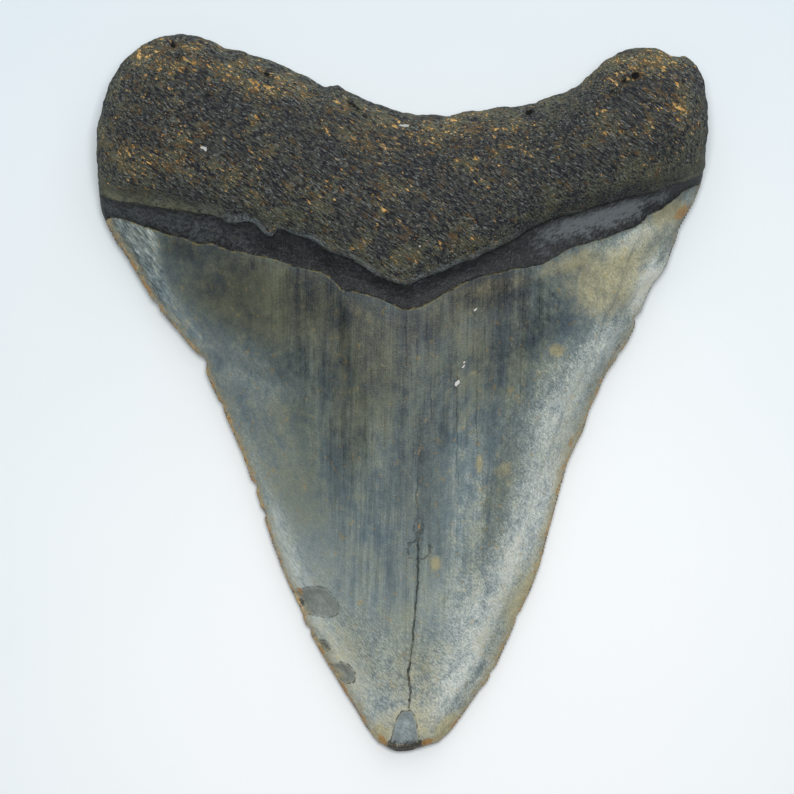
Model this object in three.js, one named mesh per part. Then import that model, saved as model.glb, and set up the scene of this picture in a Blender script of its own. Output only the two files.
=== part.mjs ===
// Megalodon tooth: one solid fossil lying on its flat outer (labial) face.
// Millimetres, +Z up. The tip points along -Y, the two root lobes along +Y.
// The convex inner (lingual) face looks up and carries a dark gum band between crown and root.

import * as THREE from "three";
import { mergeVertices } from "three/addons/utils/BufferGeometryUtils.js";

// Driving dimensions.
const WIDTH = 103;
const HEIGHT = 121;
const THICKNESS = 25.5;
const COLUMNS = 34;
const CROWN_ROWS = 30;
const BAND_ROWS = 3;
const ROOT_ROWS = 18;

// Heights above the table.
const TIP_EDGE_HEIGHT = 2.4;
const SHOULDER_EDGE_HEIGHT = 4.6;
const ROOT_RIM_HEIGHT = 8.5;
const EDGE_HALF_THICKNESS = 0.45;
const RIM_INSET = 0.012;
const ENAMEL_TOP = 20.2;
const ENAMEL_STEP = 0.7;
const ROOT_LEDGE = 1.8;
const GUTTER_DEPTH = 0.9;
const FLAT_SHARE = 0.3;

// Outline points are written as shares of half the width and half the height.
const HALF_WIDTH = WIDTH / 2;
const HALF_HEIGHT = HEIGHT / 2;

// A smooth curve through a short list of hand-chosen points.
function outlineCurve(shares) {
  const points = shares.map(([x, y]) => new THREE.Vector2(x * HALF_WIDTH, y * HALF_HEIGHT));
  return new THREE.SplineCurve(points);
}

// Corner points shared by the curves that meet there.
const TIP_LEFT = [-0.07, -0.974];
const TIP_RIGHT = [0.115, -0.972];
const ENAMEL_LEFT = [-0.948, 0.445];
const ENAMEL_RIGHT = [0.963, 0.559];
const ROOT_LEFT = [-0.986, 0.552];
const ROOT_RIGHT = [0.983, 0.605];
const LOBE_LEFT = [-0.94, 0.883];
const LOBE_RIGHT = [0.983, 0.85];

// Cutting edges, from the tip to the shoulders.
const leftEdge = outlineCurve([
  TIP_LEFT, [-0.163, -0.868], [-0.282, -0.688], [-0.369, -0.524], [-0.447, -0.337],
  [-0.528, -0.159], [-0.641, 0.043], [-0.68, 0.124], [-0.804, 0.245], ENAMEL_LEFT,
]);
const rightEdge = outlineCurve([
  TIP_RIGHT, [0.181, -0.912], [0.287, -0.782], [0.416, -0.554], [0.483, -0.374],
  [0.555, -0.162], [0.641, 0.01], [0.744, 0.16], [0.856, 0.347], ENAMEL_RIGHT,
]);
const bluntTip = outlineCurve([
  TIP_LEFT, [-0.037, -0.997], [0.005, -1.0], [0.04, -0.99], [0.075, -0.983], TIP_RIGHT,
]);

// Sides of the gum band and of the root lobes.
const leftBandSide = outlineCurve([ENAMEL_LEFT, [-0.973, 0.498], ROOT_LEFT]);
const rightBandSide = outlineCurve([ENAMEL_RIGHT, [0.973, 0.582], ROOT_RIGHT]);
const leftLobeSide = outlineCurve([ROOT_LEFT, [-0.999, 0.64], [-0.993, 0.75], LOBE_LEFT]);
const rightLobeSide = outlineCurve([ROOT_RIGHT, [0.998, 0.69], [1.0, 0.77], LOBE_RIGHT]);

// Free edge of the root, lobe to lobe with a shallow notch between.
const rootTop = outlineCurve([
  LOBE_LEFT, [-0.88, 0.95], [-0.815, 0.984], [-0.725, 1.0], [-0.62, 0.978], [-0.5, 0.938],
  [-0.33, 0.884], [-0.18, 0.838], [-0.03, 0.79], [0.1, 0.77], [0.25, 0.787], [0.41, 0.803],
  [0.53, 0.84], [0.61, 0.892], [0.69, 0.945], [0.76, 0.963], [0.83, 0.961], [0.92, 0.93],
  [0.968, 0.9], LOBE_RIGHT,
]);

// Where enamel, gum band and root meet on the convex face.
const enamelLine = outlineCurve([
  ENAMEL_LEFT, [-0.905, 0.477], [-0.81, 0.456], [-0.66, 0.413], [-0.5, 0.386], [-0.36, 0.352],
  [-0.22, 0.306], [-0.1, 0.266], [0.01, 0.229], [0.1, 0.253], [0.22, 0.311], [0.37, 0.342],
  [0.48, 0.37], [0.63, 0.423], [0.77, 0.465], [0.87, 0.519], ENAMEL_RIGHT,
]);
const rootLine = outlineCurve([
  ROOT_LEFT, [-0.88, 0.527], [-0.66, 0.494], [-0.48, 0.466], [-0.34, 0.43], [-0.23, 0.384],
  [-0.11, 0.335], [0.005, 0.294], [0.115, 0.331], [0.235, 0.367], [0.33, 0.408],
  [0.48, 0.476], [0.65, 0.519], [0.82, 0.56], ROOT_RIGHT,
]);

// On the flat face the enamel runs higher and meets the root with no band.
const flatEnamelLine = outlineCurve([
  ENAMEL_LEFT, [-0.7, 0.505], [-0.4, 0.55], [0.0, 0.515], [0.4, 0.56], [0.7, 0.575], ENAMEL_RIGHT,
]);
const flatRootLine = outlineCurve([
  ROOT_LEFT, [-0.72, 0.545], [-0.4, 0.578], [0.0, 0.543], [0.4, 0.588], [0.7, 0.605], ROOT_RIGHT,
]);

// Broken places on the left cutting edge: centre, radius and depth in millimetres.
const CHIPS = [
  { x: -15.2, y: -35.2, radius: 3.6, depth: 1.6 },
  { x: -12.6, y: -42.6, radius: 1.6, depth: 0.7 },
  { x: -9.9, y: -47.0, radius: 2.4, depth: 0.9 },
  { x: 0.0, y: -57.2, radius: 4.4, depth: 1.3 },
];

// Height of the middle of the convex face, first along the crown and then along the root.
const crownSpine = new THREE.SplineCurve([
  new THREE.Vector2(0, 3.6), new THREE.Vector2(0.1, 6.4), new THREE.Vector2(0.3, 11.0),
  new THREE.Vector2(0.55, 15.2), new THREE.Vector2(0.8, 18.4), new THREE.Vector2(1, ENAMEL_TOP),
]);
const rootSpine = new THREE.SplineCurve([
  new THREE.Vector2(0, THICKNESS - 3.2), new THREE.Vector2(0.2, THICKNESS - 1.1),
  new THREE.Vector2(0.4, THICKNESS - 0.5), new THREE.Vector2(0.7, THICKNESS - 2.4),
  new THREE.Vector2(1, THICKNESS - 6),
]);

// Smooth step from 0 to 1 between two values.
function ramp(value, start, end) {
  return THREE.MathUtils.smoothstep(value, start, end);
}

// Blends four boundary curves so that the patch meets all of them (a Coons patch).
function patchPoint(low, high, left, right, across, along) {
  const sides = left.getPointAt(along).multiplyScalar(1 - across);
  sides.addScaledVector(right.getPointAt(along), across);
  const ends = low.getPointAt(across).multiplyScalar(1 - along);
  ends.addScaledVector(high.getPointAt(across), along);
  const corners = low.getPointAt(0).multiplyScalar((1 - across) * (1 - along));
  corners.addScaledVector(low.getPointAt(1), across * (1 - along));
  corners.addScaledVector(high.getPointAt(0), (1 - across) * along);
  corners.addScaledVector(high.getPointAt(1), across * along);
  return sides.add(ends).sub(corners);
}

// Plan position on one face; zone 0 is crown, 1 is gum band, 2 is root.
function planPoint(zone, across, along, onConvexFace) {
  const enamel = onConvexFace ? enamelLine : flatEnamelLine;
  const root = onConvexFace ? rootLine : flatRootLine;
  if (zone === 0) {
    return patchPoint(bluntTip, enamel, leftEdge, rightEdge, across, along);
  }
  if (zone === 1) {
    return patchPoint(enamel, root, leftBandSide, rightBandSide, across, along);
  }
  return patchPoint(root, rootTop, leftLobeSide, rightLobeSide, across, along);
}

// Height of the outermost rim above the table.
function rimHeight(zone, side, along) {
  if (zone === 0) {
    return THREE.MathUtils.lerp(TIP_EDGE_HEIGHT, SHOULDER_EDGE_HEIGHT, along * along);
  }
  const rise = zone === 1 ? 0.35 * along : 0.35 + 0.65 * ramp(along, 0, 0.6);
  const middle = 1 + 0.12 * (1 - side * side);
  return THREE.MathUtils.lerp(SHOULDER_EDGE_HEIGHT, ROOT_RIM_HEIGHT * middle, rise);
}

// Height of the convex face; side runs from -1 at the left rim to 1 at the right rim.
function convexHeight(zone, side, along, rim) {
  const inward = Math.max(0, 1 - side * side);
  if (zone === 0) {
    const spine = crownSpine.getPoint(along).y;
    const blade = Math.pow(inward, THREE.MathUtils.lerp(1.05, 0.85, along));
    return rim + EDGE_HALF_THICKNESS + (spine - rim) * blade;
  }
  const bandLow = ENAMEL_TOP - ENAMEL_STEP;
  const bandHigh = THICKNESS - 3.2 - ROOT_LEDGE;
  const shoulder = Math.pow(inward, 0.85);
  if (zone === 1) {
    const spine = THREE.MathUtils.lerp(bandLow, bandHigh, along);
    return rim + EDGE_HALF_THICKNESS + (spine - rim) * shoulder;
  }
  const ledge = ramp(along, 0, 0.03);
  const spine = THREE.MathUtils.lerp(bandHigh, rootSpine.getPoint(along).y, ledge);
  const lobe = Math.pow(inward, THREE.MathUtils.lerp(0.85, 0.42, ramp(along, 0, 0.5)));
  const crest = Math.sqrt(Math.max(0, 1 - Math.pow(along, 3.2)));
  const edge = EDGE_HALF_THICKNESS + 0.5 * ledge;
  return rim + edge + (spine - rim) * lobe * crest;
}

// Height of the flat face: on the table inside, curling up to the rim.
function flatHeight(zone, side, along, rim) {
  const outside = Math.max(0, (Math.abs(side) - FLAT_SHARE) / (1 - FLAT_SHARE));
  const curl = Math.pow(outside, zone === 0 ? 3.5 : 4.5);
  const tipCurl = zone === 0 ? Math.pow(1 - along, 40) : 0;
  const topCurl = zone === 2 ? Math.pow(along, 7) : 0;
  const lift = Math.min(1, curl + tipCurl + topCurl - curl * (tipCurl + topCurl));
  const gutter = zone === 2 ? GUTTER_DEPTH * ramp(along, 0, 0.05) * (1 - ramp(along, 0.05, 0.45)) : 0;
  return (rim - EDGE_HALF_THICKNESS) * lift + gutter * (1 - lift);
}

// How deep the broken places cut at one plan position.
function chipDepth(x, y) {
  let depth = 0;
  for (const chip of CHIPS) {
    const distance = Math.hypot(x - chip.x, y - chip.y) / chip.radius;
    depth = Math.max(depth, chip.depth * (1 - ramp(distance, 0.5, 1.1)));
  }
  return depth;
}

// Row number to zone and position along it; rows crowd the enamel step, the ledge and the free edge.
function zoneOfRow(row) {
  if (row <= CROWN_ROWS) {
    return [0, row / CROWN_ROWS];
  }
  if (row <= CROWN_ROWS + BAND_ROWS) {
    return [1, Math.pow((row - CROWN_ROWS) / BAND_ROWS, 1.8)];
  }
  const share = (row - CROWN_ROWS - BAND_ROWS) / ROOT_ROWS;
  return [2, 0.5 - 0.5 * Math.cos(Math.PI * share)];
}

// Bends a plain box into the tooth: its top becomes the convex face and its bottom the flat face.
function toothGeometry() {
  const rows = CROWN_ROWS + BAND_ROWS + ROOT_ROWS;
  const box = new THREE.BoxGeometry(2, rows, 2, COLUMNS, rows, 2);
  box.deleteAttribute("normal");
  box.deleteAttribute("uv");
  const geometry = mergeVertices(box, 1e-4);
  const positions = geometry.getAttribute("position");
  for (let i = 0; i < positions.count; i += 1) {
    const level = Math.round(positions.getZ(i));
    const inset = Math.abs(level) * RIM_INSET;
    const spread = THREE.MathUtils.lerp(positions.getX(i), Math.sin((positions.getX(i) * Math.PI) / 2), 0.7);
    const side = THREE.MathUtils.clamp(spread, inset - 1, 1 - inset);
    const row = Math.round(positions.getY(i) + rows / 2);
    const [zone, share] = zoneOfRow(row);
    let along = share;
    if (row === 0) {
      along = inset / 2;
    }
    if (row === rows) {
      along = 1 - inset;
    }
    const plan = planPoint(zone, (side + 1) / 2, along, level >= 0);
    const rim = rimHeight(zone, side, along);
    let height = rim;
    if (level > 0) {
      const full = convexHeight(zone, side, along, rim);
      height = Math.max(rim + 0.2, full - chipDepth(plan.x, plan.y));
    }
    if (level < 0) {
      height = flatHeight(zone, side, along, rim);
    }
    positions.setXYZ(i, plan.x, plan.y, height);
  }
  geometry.computeVertexNormals();
  return geometry;
}

const fossil = new THREE.MeshStandardMaterial({ color: 0x5f6a6c, roughness: 0.45, metalness: 0 });
const tooth = new THREE.Mesh(toothGeometry(), fossil);
tooth.name = "tooth";

const part = new THREE.Group();
part.name = "megalodon_tooth";
part.add(tooth);

export default part;
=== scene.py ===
import logging
import math
from dataclasses import dataclass, field
from enum import Enum
from functools import cached_property, reduce

import bpy
import numpy as np
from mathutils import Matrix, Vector


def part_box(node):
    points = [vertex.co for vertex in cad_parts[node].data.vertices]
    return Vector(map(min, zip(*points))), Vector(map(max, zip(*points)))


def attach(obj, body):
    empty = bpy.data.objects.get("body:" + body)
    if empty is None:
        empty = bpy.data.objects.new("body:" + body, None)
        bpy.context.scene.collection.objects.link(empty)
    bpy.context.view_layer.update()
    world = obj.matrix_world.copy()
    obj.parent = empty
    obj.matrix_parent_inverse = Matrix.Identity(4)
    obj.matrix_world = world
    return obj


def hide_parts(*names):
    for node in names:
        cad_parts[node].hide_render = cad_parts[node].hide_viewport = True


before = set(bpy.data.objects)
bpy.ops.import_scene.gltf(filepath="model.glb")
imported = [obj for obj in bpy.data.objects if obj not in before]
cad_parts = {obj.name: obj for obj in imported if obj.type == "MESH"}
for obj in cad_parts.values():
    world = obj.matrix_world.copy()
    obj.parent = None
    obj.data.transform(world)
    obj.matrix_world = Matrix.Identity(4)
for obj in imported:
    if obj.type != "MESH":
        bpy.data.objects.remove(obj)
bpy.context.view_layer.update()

LOG = logging.getLogger("megalodon_tooth")
MM = 0.001

# Nominal plan size that the outline points below are written for, in millimetres.
NOMINAL_WIDTH = 103.0
NOMINAL_HEIGHT = 121.0
# Stored where a place is far from any chip or crack ring, in millimetres.
OFF_CHIP = -2.0
OFF_RING = 9.0
# How much of the convex face a point belongs to: over the first it is on it, under the second it
# is on the flat face, and between them it is on the rim.
ON_CONVEX = 0.75
ON_FLAT = 0.25


class Face(Enum):
    """The two faces of the tooth."""

    CONVEX = "convex"
    FLAT = "flat"


def smooth_ramp(value: np.ndarray, start: float, end: float) -> np.ndarray:
    """Rises smoothly from 0 at start to 1 at end.

    Args:
        value: Any array of numbers.
        start: Where the ramp leaves 0.
        end: Where the ramp reaches 1; it may lie below start.

    Returns:
        An array of the same shape, from 0 to 1.
    """
    share = np.clip((value - start) / (end - start), 0.0, 1.0)
    return share * share * (3.0 - 2.0 * share)


def bell(value: np.ndarray, centre: float, width: float) -> np.ndarray:
    """Bell shape that is 1 at the centre and falls away on both sides."""
    return np.exp(-(((value - centre) / width) ** 2))


def blend(low: np.ndarray, high: np.ndarray, share: np.ndarray) -> np.ndarray:
    """Straight-line blend from low to high."""
    return low + (high - low) * share


def spaced(count: int, crowd_start: float, crowd_end: float) -> np.ndarray:
    """Positions from 0 to 1 that crowd together near either end.

    Args:
        count: Number of steps between the positions.
        crowd_start: How many times closer the steps are at 0.
        crowd_end: How many times closer the steps are at 1.

    Returns:
        count + 1 rising numbers.
    """
    middle = (np.arange(count) + 0.5) / count
    near_start = crowd_start * np.exp(-middle / 0.06)
    near_end = crowd_end * np.exp(-(1.0 - middle) / 0.06)
    steps = 1.0 / (1.0 + near_start + near_end)
    return np.concatenate([[0.0], np.cumsum(steps) / steps.sum()])


def refined(values: np.ndarray, times: int) -> np.ndarray:
    """The same run of numbers with each step divided evenly."""
    where = np.linspace(0, len(values) - 1, (len(values) - 1) * times + 1)
    return np.interp(where, np.arange(len(values)), values)


@dataclass(frozen=True)
class Curve:
    """A smooth plane curve through a few chosen points, in millimetres."""

    points: tuple[tuple[float, float], ...]
    per_span: int = 24

    @cached_property
    def trace(self) -> np.ndarray:
        """Dense points along the curve, by the Catmull-Rom rule."""
        fixed = np.array(self.points, float)
        padded = np.vstack([2 * fixed[0] - fixed[1], fixed, 2 * fixed[-1] - fixed[-2]])
        t = np.linspace(0, 1, self.per_span, endpoint=False)[None, :, None]
        a, b, c, d = (padded[k : k + len(fixed) - 1, None, :] for k in range(4))
        cubic = 3 * b - a - 3 * c + d
        square = 2 * a - 5 * b + 4 * c - d
        dense = 0.5 * (2 * b + (c - a) * t + square * t**2 + cubic * t**3)
        return np.vstack([dense.reshape(-1, 2), fixed[-1:]])

    @cached_property
    def lengths(self) -> np.ndarray:
        """Length from the start to each dense point."""
        steps = np.linalg.norm(np.diff(self.trace, axis=0), axis=1)
        return np.concatenate([[0.0], np.cumsum(steps)])

    def at(self, share: np.ndarray) -> np.ndarray:
        """Points at the given shares of the curve's length."""
        want = share * self.lengths[-1]
        x = np.interp(want, self.lengths, self.trace[:, 0])
        y = np.interp(want, self.lengths, self.trace[:, 1])
        return np.stack([x, y], axis=-1)

    def height_at(self, x: np.ndarray) -> np.ndarray:
        """Second coordinate where the curve has the given first one."""
        return np.interp(x, self.trace[:, 0], self.trace[:, 1])


@dataclass(frozen=True)
class SolidNoise:
    """Smooth random field in space, the same for the same seed."""

    seed: int = 1

    def corner(self, cell: np.ndarray) -> np.ndarray:
        """Random numbers from -1 to 1, one for each whole-number cell corner."""
        whole = cell.astype(np.int64)
        mixed = whole[..., 0] * 73856093 ^ whole[..., 1] * 19349663 ^ whole[..., 2] * 83492791
        mixed = (mixed ^ self.seed * 40503) & 0x7FFFFFFF
        mixed = (mixed ^ (mixed >> 13)) * 1274126177 & 0x7FFFFFFF
        mixed = (mixed ^ (mixed >> 16)) * 668265263 & 0x7FFFFFFF
        mixed = mixed ^ (mixed >> 15)
        return (mixed & 0xFFFF) / 32767.5 - 1.0

    def value(self, points: np.ndarray, size: float) -> np.ndarray:
        """Noise from -1 to 1 whose blobs are about as wide as size."""
        scaled = points / size
        low = np.floor(scaled)
        share = scaled - low
        share = share * share * (3.0 - 2.0 * share)
        total = np.zeros(points.shape[:-1])
        for corner in range(8):
            step = np.array([corner & 1, corner >> 1 & 1, corner >> 2])
            weight = np.prod(np.where(step == 1, share, 1.0 - share), axis=-1)
            total += weight * self.corner(low + step)
        return total

    def rough(self, points: np.ndarray, size: float, layers: int = 4, gain: float = 0.5) -> np.ndarray:
        """Several layers of noise, each finer and weaker than the last.

        Args:
            points: Places in millimetres, last axis x, y, z.
            size: Width of the coarsest blobs.
            layers: Number of layers.
            gain: Strength of each layer against the one before.

        Returns:
            The sum, kept near -1 to 1.
        """
        total = np.zeros(points.shape[:-1])
        strength, reach = 1.0, 0.0
        for layer in range(layers):
            turned = points @ TURNS[layer % len(TURNS)] + 17.3 * layer
            total += strength * self.value(turned, size / 2.03**layer)
            reach += strength
            strength *= gain
        return total / reach


def turn(about_z: float, about_x: float) -> np.ndarray:
    """Rotation matrix for a turn about z and then about x, in degrees."""
    a, b = math.radians(about_z), math.radians(about_x)
    first = np.array([[math.cos(a), -math.sin(a), 0], [math.sin(a), math.cos(a), 0], [0, 0, 1]])
    second = np.array([[1, 0, 0], [0, math.cos(b), -math.sin(b)], [0, math.sin(b), math.cos(b)]])
    return first @ second


TURNS = (turn(0, 0), turn(37, 21), turn(71, 43), turn(113, 67))

# Corner points where the outline curves meet.
TIP_LEFT, TIP_RIGHT = (-4.0, -59.0), (6.0, -58.8)
ENAMEL_LEFT, ENAMEL_RIGHT = (-50.0, 29.2), (50.2, 35.2)
ROOT_LEFT, ROOT_RIGHT = (-50.9, 33.4), (50.6, 37.0)
LOBE_LEFT, LOBE_RIGHT = (-48.4, 53.4), (50.6, 52.4)


@dataclass(frozen=True)
class ToothPlan:
    """Plan shape of the tooth: its outline and the lines between crown, gum band and root.

    A place on either face has two parameters. side runs from -1 on the left outline to 1 on the
    right one. level runs from 0 at the tip to 1 at the enamel line, 2 at the root line and 3 at
    the root's free edge.
    """

    left_edge: Curve = Curve((
        TIP_LEFT, (-5.6, -56.8), (-8.2, -52.3), (-10.0, -49.7), (-12.1, -46.3), (-14.5, -41.9),
        (-16.1, -38.9), (-17.0, -36.2), (-19.3, -31.7), (-21.3, -26.6), (-23.3, -20.5), (-25.6, -14.0),
        (-27.2, -9.6), (-30.1, -2.7), (-32.8, 2.8), (-33.6, 5.8), (-36.3, 8.9), (-38.5, 11.6),
        (-41.4, 14.8), (-43.2, 17.8), (-45.2, 21.3), (-47.0, 24.3), (-48.3, 26.0), ENAMEL_LEFT,
    ))
    right_edge: Curve = Curve((
        TIP_RIGHT, (7.9, -57.2), (9.6, -55.1), (11.9, -51.6), (15.0, -47.3), (18.9, -38.9),
        (21.4, -33.5), (23.2, -28.6), (24.9, -22.6), (27.1, -14.2), (28.6, -9.8), (30.4, -6.1),
        (31.8, -2.4), (34.1, 2.8), (36.2, 6.0), (38.4, 9.7), (39.6, 12.6), (41.5, 17.3),
        (44.1, 21.0), (45.6, 24.7), (46.8, 28.2), (48.7, 31.6), (49.7, 34.0), ENAMEL_RIGHT,
    ))
    tip: Curve = Curve((TIP_LEFT, (-1.9, -60.1), (-0.3, -60.5), (1.4, -60.2), (3.4, -59.6), TIP_RIGHT))
    left_band: Curve = Curve((ENAMEL_LEFT, (-50.6, 31.0), ROOT_LEFT))
    right_band: Curve = Curve((ENAMEL_RIGHT, (50.4, 36.0), ROOT_RIGHT))
    left_lobe: Curve = Curve((
        ROOT_LEFT, (-51.3, 37.3), (-51.4, 42.5), (-50.8, 46.4), (-49.8, 50.1), LOBE_LEFT,
    ))
    right_lobe: Curve = Curve((ROOT_RIGHT, (51.1, 39.3), (51.4, 43.4), (51.2, 48.5), LOBE_RIGHT))
    root_top: Curve = Curve((
        LOBE_LEFT, (-47.3, 55.5), (-45.4, 57.5), (-42.0, 59.5), (-37.3, 60.4), (-34.6, 60.2),
        (-32.4, 59.3), (-29.3, 57.9), (-26.6, 57.5), (-25.4, 56.9), (-21.2, 55.4), (-17.2, 53.6),
        (-13.3, 51.6), (-12.0, 51.7), (-10.6, 51.9), (-9.1, 50.9), (-5.0, 48.9), (-1.0, 47.5),
        (3.0, 46.7), (7.1, 46.5), (8.9, 46.9), (13.1, 47.5), (17.2, 48.3), (21.2, 48.6),
        (25.2, 49.7), (29.3, 51.9), (33.3, 55.5), (35.3, 57.0), (37.3, 58.1), (41.4, 58.3),
        (43.4, 58.0), (45.0, 56.9), (46.2, 56.7), (47.6, 56.8), (49.4, 55.1), LOBE_RIGHT,
    ))
    enamel_line: Curve = Curve((
        ENAMEL_LEFT, (-48.4, 29.6), (-46.6, 29.2), (-44.2, 28.5), (-41.7, 27.6), (-38.9, 26.6),
        (-36.7, 25.9), (-34.0, 25.1), (-31.3, 25.0), (-28.6, 23.9), (-25.9, 23.3), (-22.2, 22.5),
        (-18.5, 21.4), (-13.6, 20.1), (-11.3, 18.7), (-9.8, 17.3), (-7.9, 16.6), (-5.0, 16.1),
        (-2.2, 14.9), (0.4, 13.8), (2.5, 14.5), (5.4, 15.5), (7.4, 17.0), (11.3, 18.8),
        (15.1, 20.0), (19.0, 20.6), (22.9, 21.5), (24.7, 22.4), (26.7, 23.7), (29.9, 24.8),
        (35.2, 26.4), (39.5, 28.2), (41.2, 29.9), (43.4, 30.9), (45.6, 32.6), (47.6, 34.1),
        ENAMEL_RIGHT,
    ))
    root_line: Curve = Curve((
        ROOT_LEFT, (-45.6, 31.9), (-40.4, 31.1), (-34.0, 29.9), (-30.8, 29.4), (-28.6, 28.3),
        (-24.9, 28.1), (-22.9, 26.6), (-21.4, 26.0), (-20.4, 27.0), (-17.7, 26.2), (-14.8, 25.2),
        (-11.9, 23.3), (-8.6, 22.2), (-5.7, 20.4), (-3.0, 18.9), (0.3, 17.7), (2.6, 18.6),
        (5.9, 20.0), (8.9, 21.1), (12.1, 22.2), (13.8, 23.3), (17.0, 24.7), (19.0, 25.9),
        (20.9, 27.2), (24.7, 28.8), (29.9, 30.2), (33.5, 31.4), (36.8, 32.5), (40.4, 33.2),
        (44.6, 34.6), (47.1, 35.6), ROOT_RIGHT,
    ))
    flat_enamel_line: Curve = Curve((
        ENAMEL_LEFT, (-36, 30.5), (-20.6, 33.3), (0.0, 31.2), (20.6, 33.9), (36, 34.8), ENAMEL_RIGHT,
    ))
    flat_root_line: Curve = Curve((
        ROOT_LEFT, (-37, 33.0), (-20.6, 35.0), (0.0, 32.9), (20.6, 35.6), (36, 36.6), ROOT_RIGHT,
    ))

    def patch(
        self, low: Curve, high: Curve, left: Curve, right: Curve, across: np.ndarray, along: np.ndarray
    ) -> np.ndarray:
        """Points of the patch that meets four curves: side blend plus end blend less corner blend."""
        s, t = across[..., None], along[..., None]
        sides = (1 - s) * left.at(along) + s * right.at(along)
        ends = (1 - t) * low.at(across) + t * high.at(across)
        corners = (1 - s) * (1 - t) * low.trace[0] + s * (1 - t) * low.trace[-1]
        corners = corners + (1 - s) * t * high.trace[0] + s * t * high.trace[-1]
        return sides + ends - corners

    def place(self, side: np.ndarray, level: np.ndarray, face: Face) -> np.ndarray:
        """Plan points for the two parameters on one face."""
        enamel = self.enamel_line if face is Face.CONVEX else self.flat_enamel_line
        root = self.root_line if face is Face.CONVEX else self.flat_root_line
        across = (side + 1) / 2
        crown_level, band_level, root_level = (np.clip(level - start, 0, 1) for start in (0, 1, 2))
        crown = self.patch(self.tip, enamel, self.left_edge, self.right_edge, across, crown_level)
        band = self.patch(enamel, root, self.left_band, self.right_band, across, band_level)
        lobes = self.patch(root, self.root_top, self.left_lobe, self.right_lobe, across, root_level)
        level = level[..., None]
        return np.where(level <= 1, crown, np.where(level <= 2, band, lobes))

    def half_width(self, level: np.ndarray) -> np.ndarray:
        """Half the distance between the left and right outline at one level."""
        left = self.place(-np.ones_like(level), level, Face.CONVEX)
        right = self.place(np.ones_like(level), level, Face.CONVEX)
        return np.linalg.norm(right - left, axis=-1) / 2


@dataclass(frozen=True)
class Chip:
    """A broken place: a straight-sided patch cut to a slanting facet."""

    corners: tuple[tuple[float, float], ...]
    depth: float
    slope: float

    def inside(self, plan: np.ndarray) -> np.ndarray:
        """Distance inside the patch, negative outside; corners run anticlockwise."""
        corners = np.array(self.corners)
        sides = np.roll(corners, -1, axis=0) - corners
        outward = np.stack([sides[:, 1], -sides[:, 0]], axis=1)
        outward /= np.linalg.norm(outward, axis=1, keepdims=True)
        reach = np.einsum("nk,ek->ne", plan, outward) - np.einsum("ek,ek->e", corners, outward)
        return -reach.max(axis=1)

    def cut(self, plan: np.ndarray) -> np.ndarray:
        """How deep the facet lies below the old surface, negative where nothing is broken."""
        return np.clip(self.inside(plan) * self.slope, OFF_CHIP, self.depth)


@dataclass(frozen=True)
class Spot:
    """A soft oval place: centre, half-lengths along and across its long axis, and that axis's angle."""

    x: float
    y: float
    long: float
    wide: float
    angle: float = 0.0
    strength: float = 1.0

    def reach(self, plan: np.ndarray) -> np.ndarray:
        """Distance from the centre as a share of the oval's half-size, 1 on its rim."""
        a = math.radians(self.angle)
        dx, dy = plan[:, 0] - self.x, plan[:, 1] - self.y
        along = (dx * math.cos(a) + dy * math.sin(a)) / self.long
        across = (dy * math.cos(a) - dx * math.sin(a)) / self.wide
        return np.hypot(along, across)

    def weight(self, plan: np.ndarray) -> np.ndarray:
        """Strength at each place, a bell shape over the oval."""
        return self.strength * np.exp(-1.4 * self.reach(plan) ** 3)

    def rim_distance(self, plan: np.ndarray) -> np.ndarray:
        """Distance outside the oval's rim, negative inside; exact enough near the rim."""
        return (self.reach(plan) - 1) * min(self.long, self.wide)


def ovals(*rows: tuple[float, ...]) -> tuple[Spot, ...]:
    """Several spots, one for each row of their numbers."""
    return tuple(Spot(*row) for row in rows)


def spots(plan: np.ndarray, listed: tuple[Spot, ...]) -> np.ndarray:
    """Sum of several spots' weights, kept within 0 and 1."""
    return np.clip(sum(spot.weight(plan) for spot in listed), 0, 1)


@dataclass
class Skin:
    """Points of the tooth's surface as they are gathered, in millimetres."""

    side: np.ndarray
    level: np.ndarray
    plan: np.ndarray
    convex: np.ndarray


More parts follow.
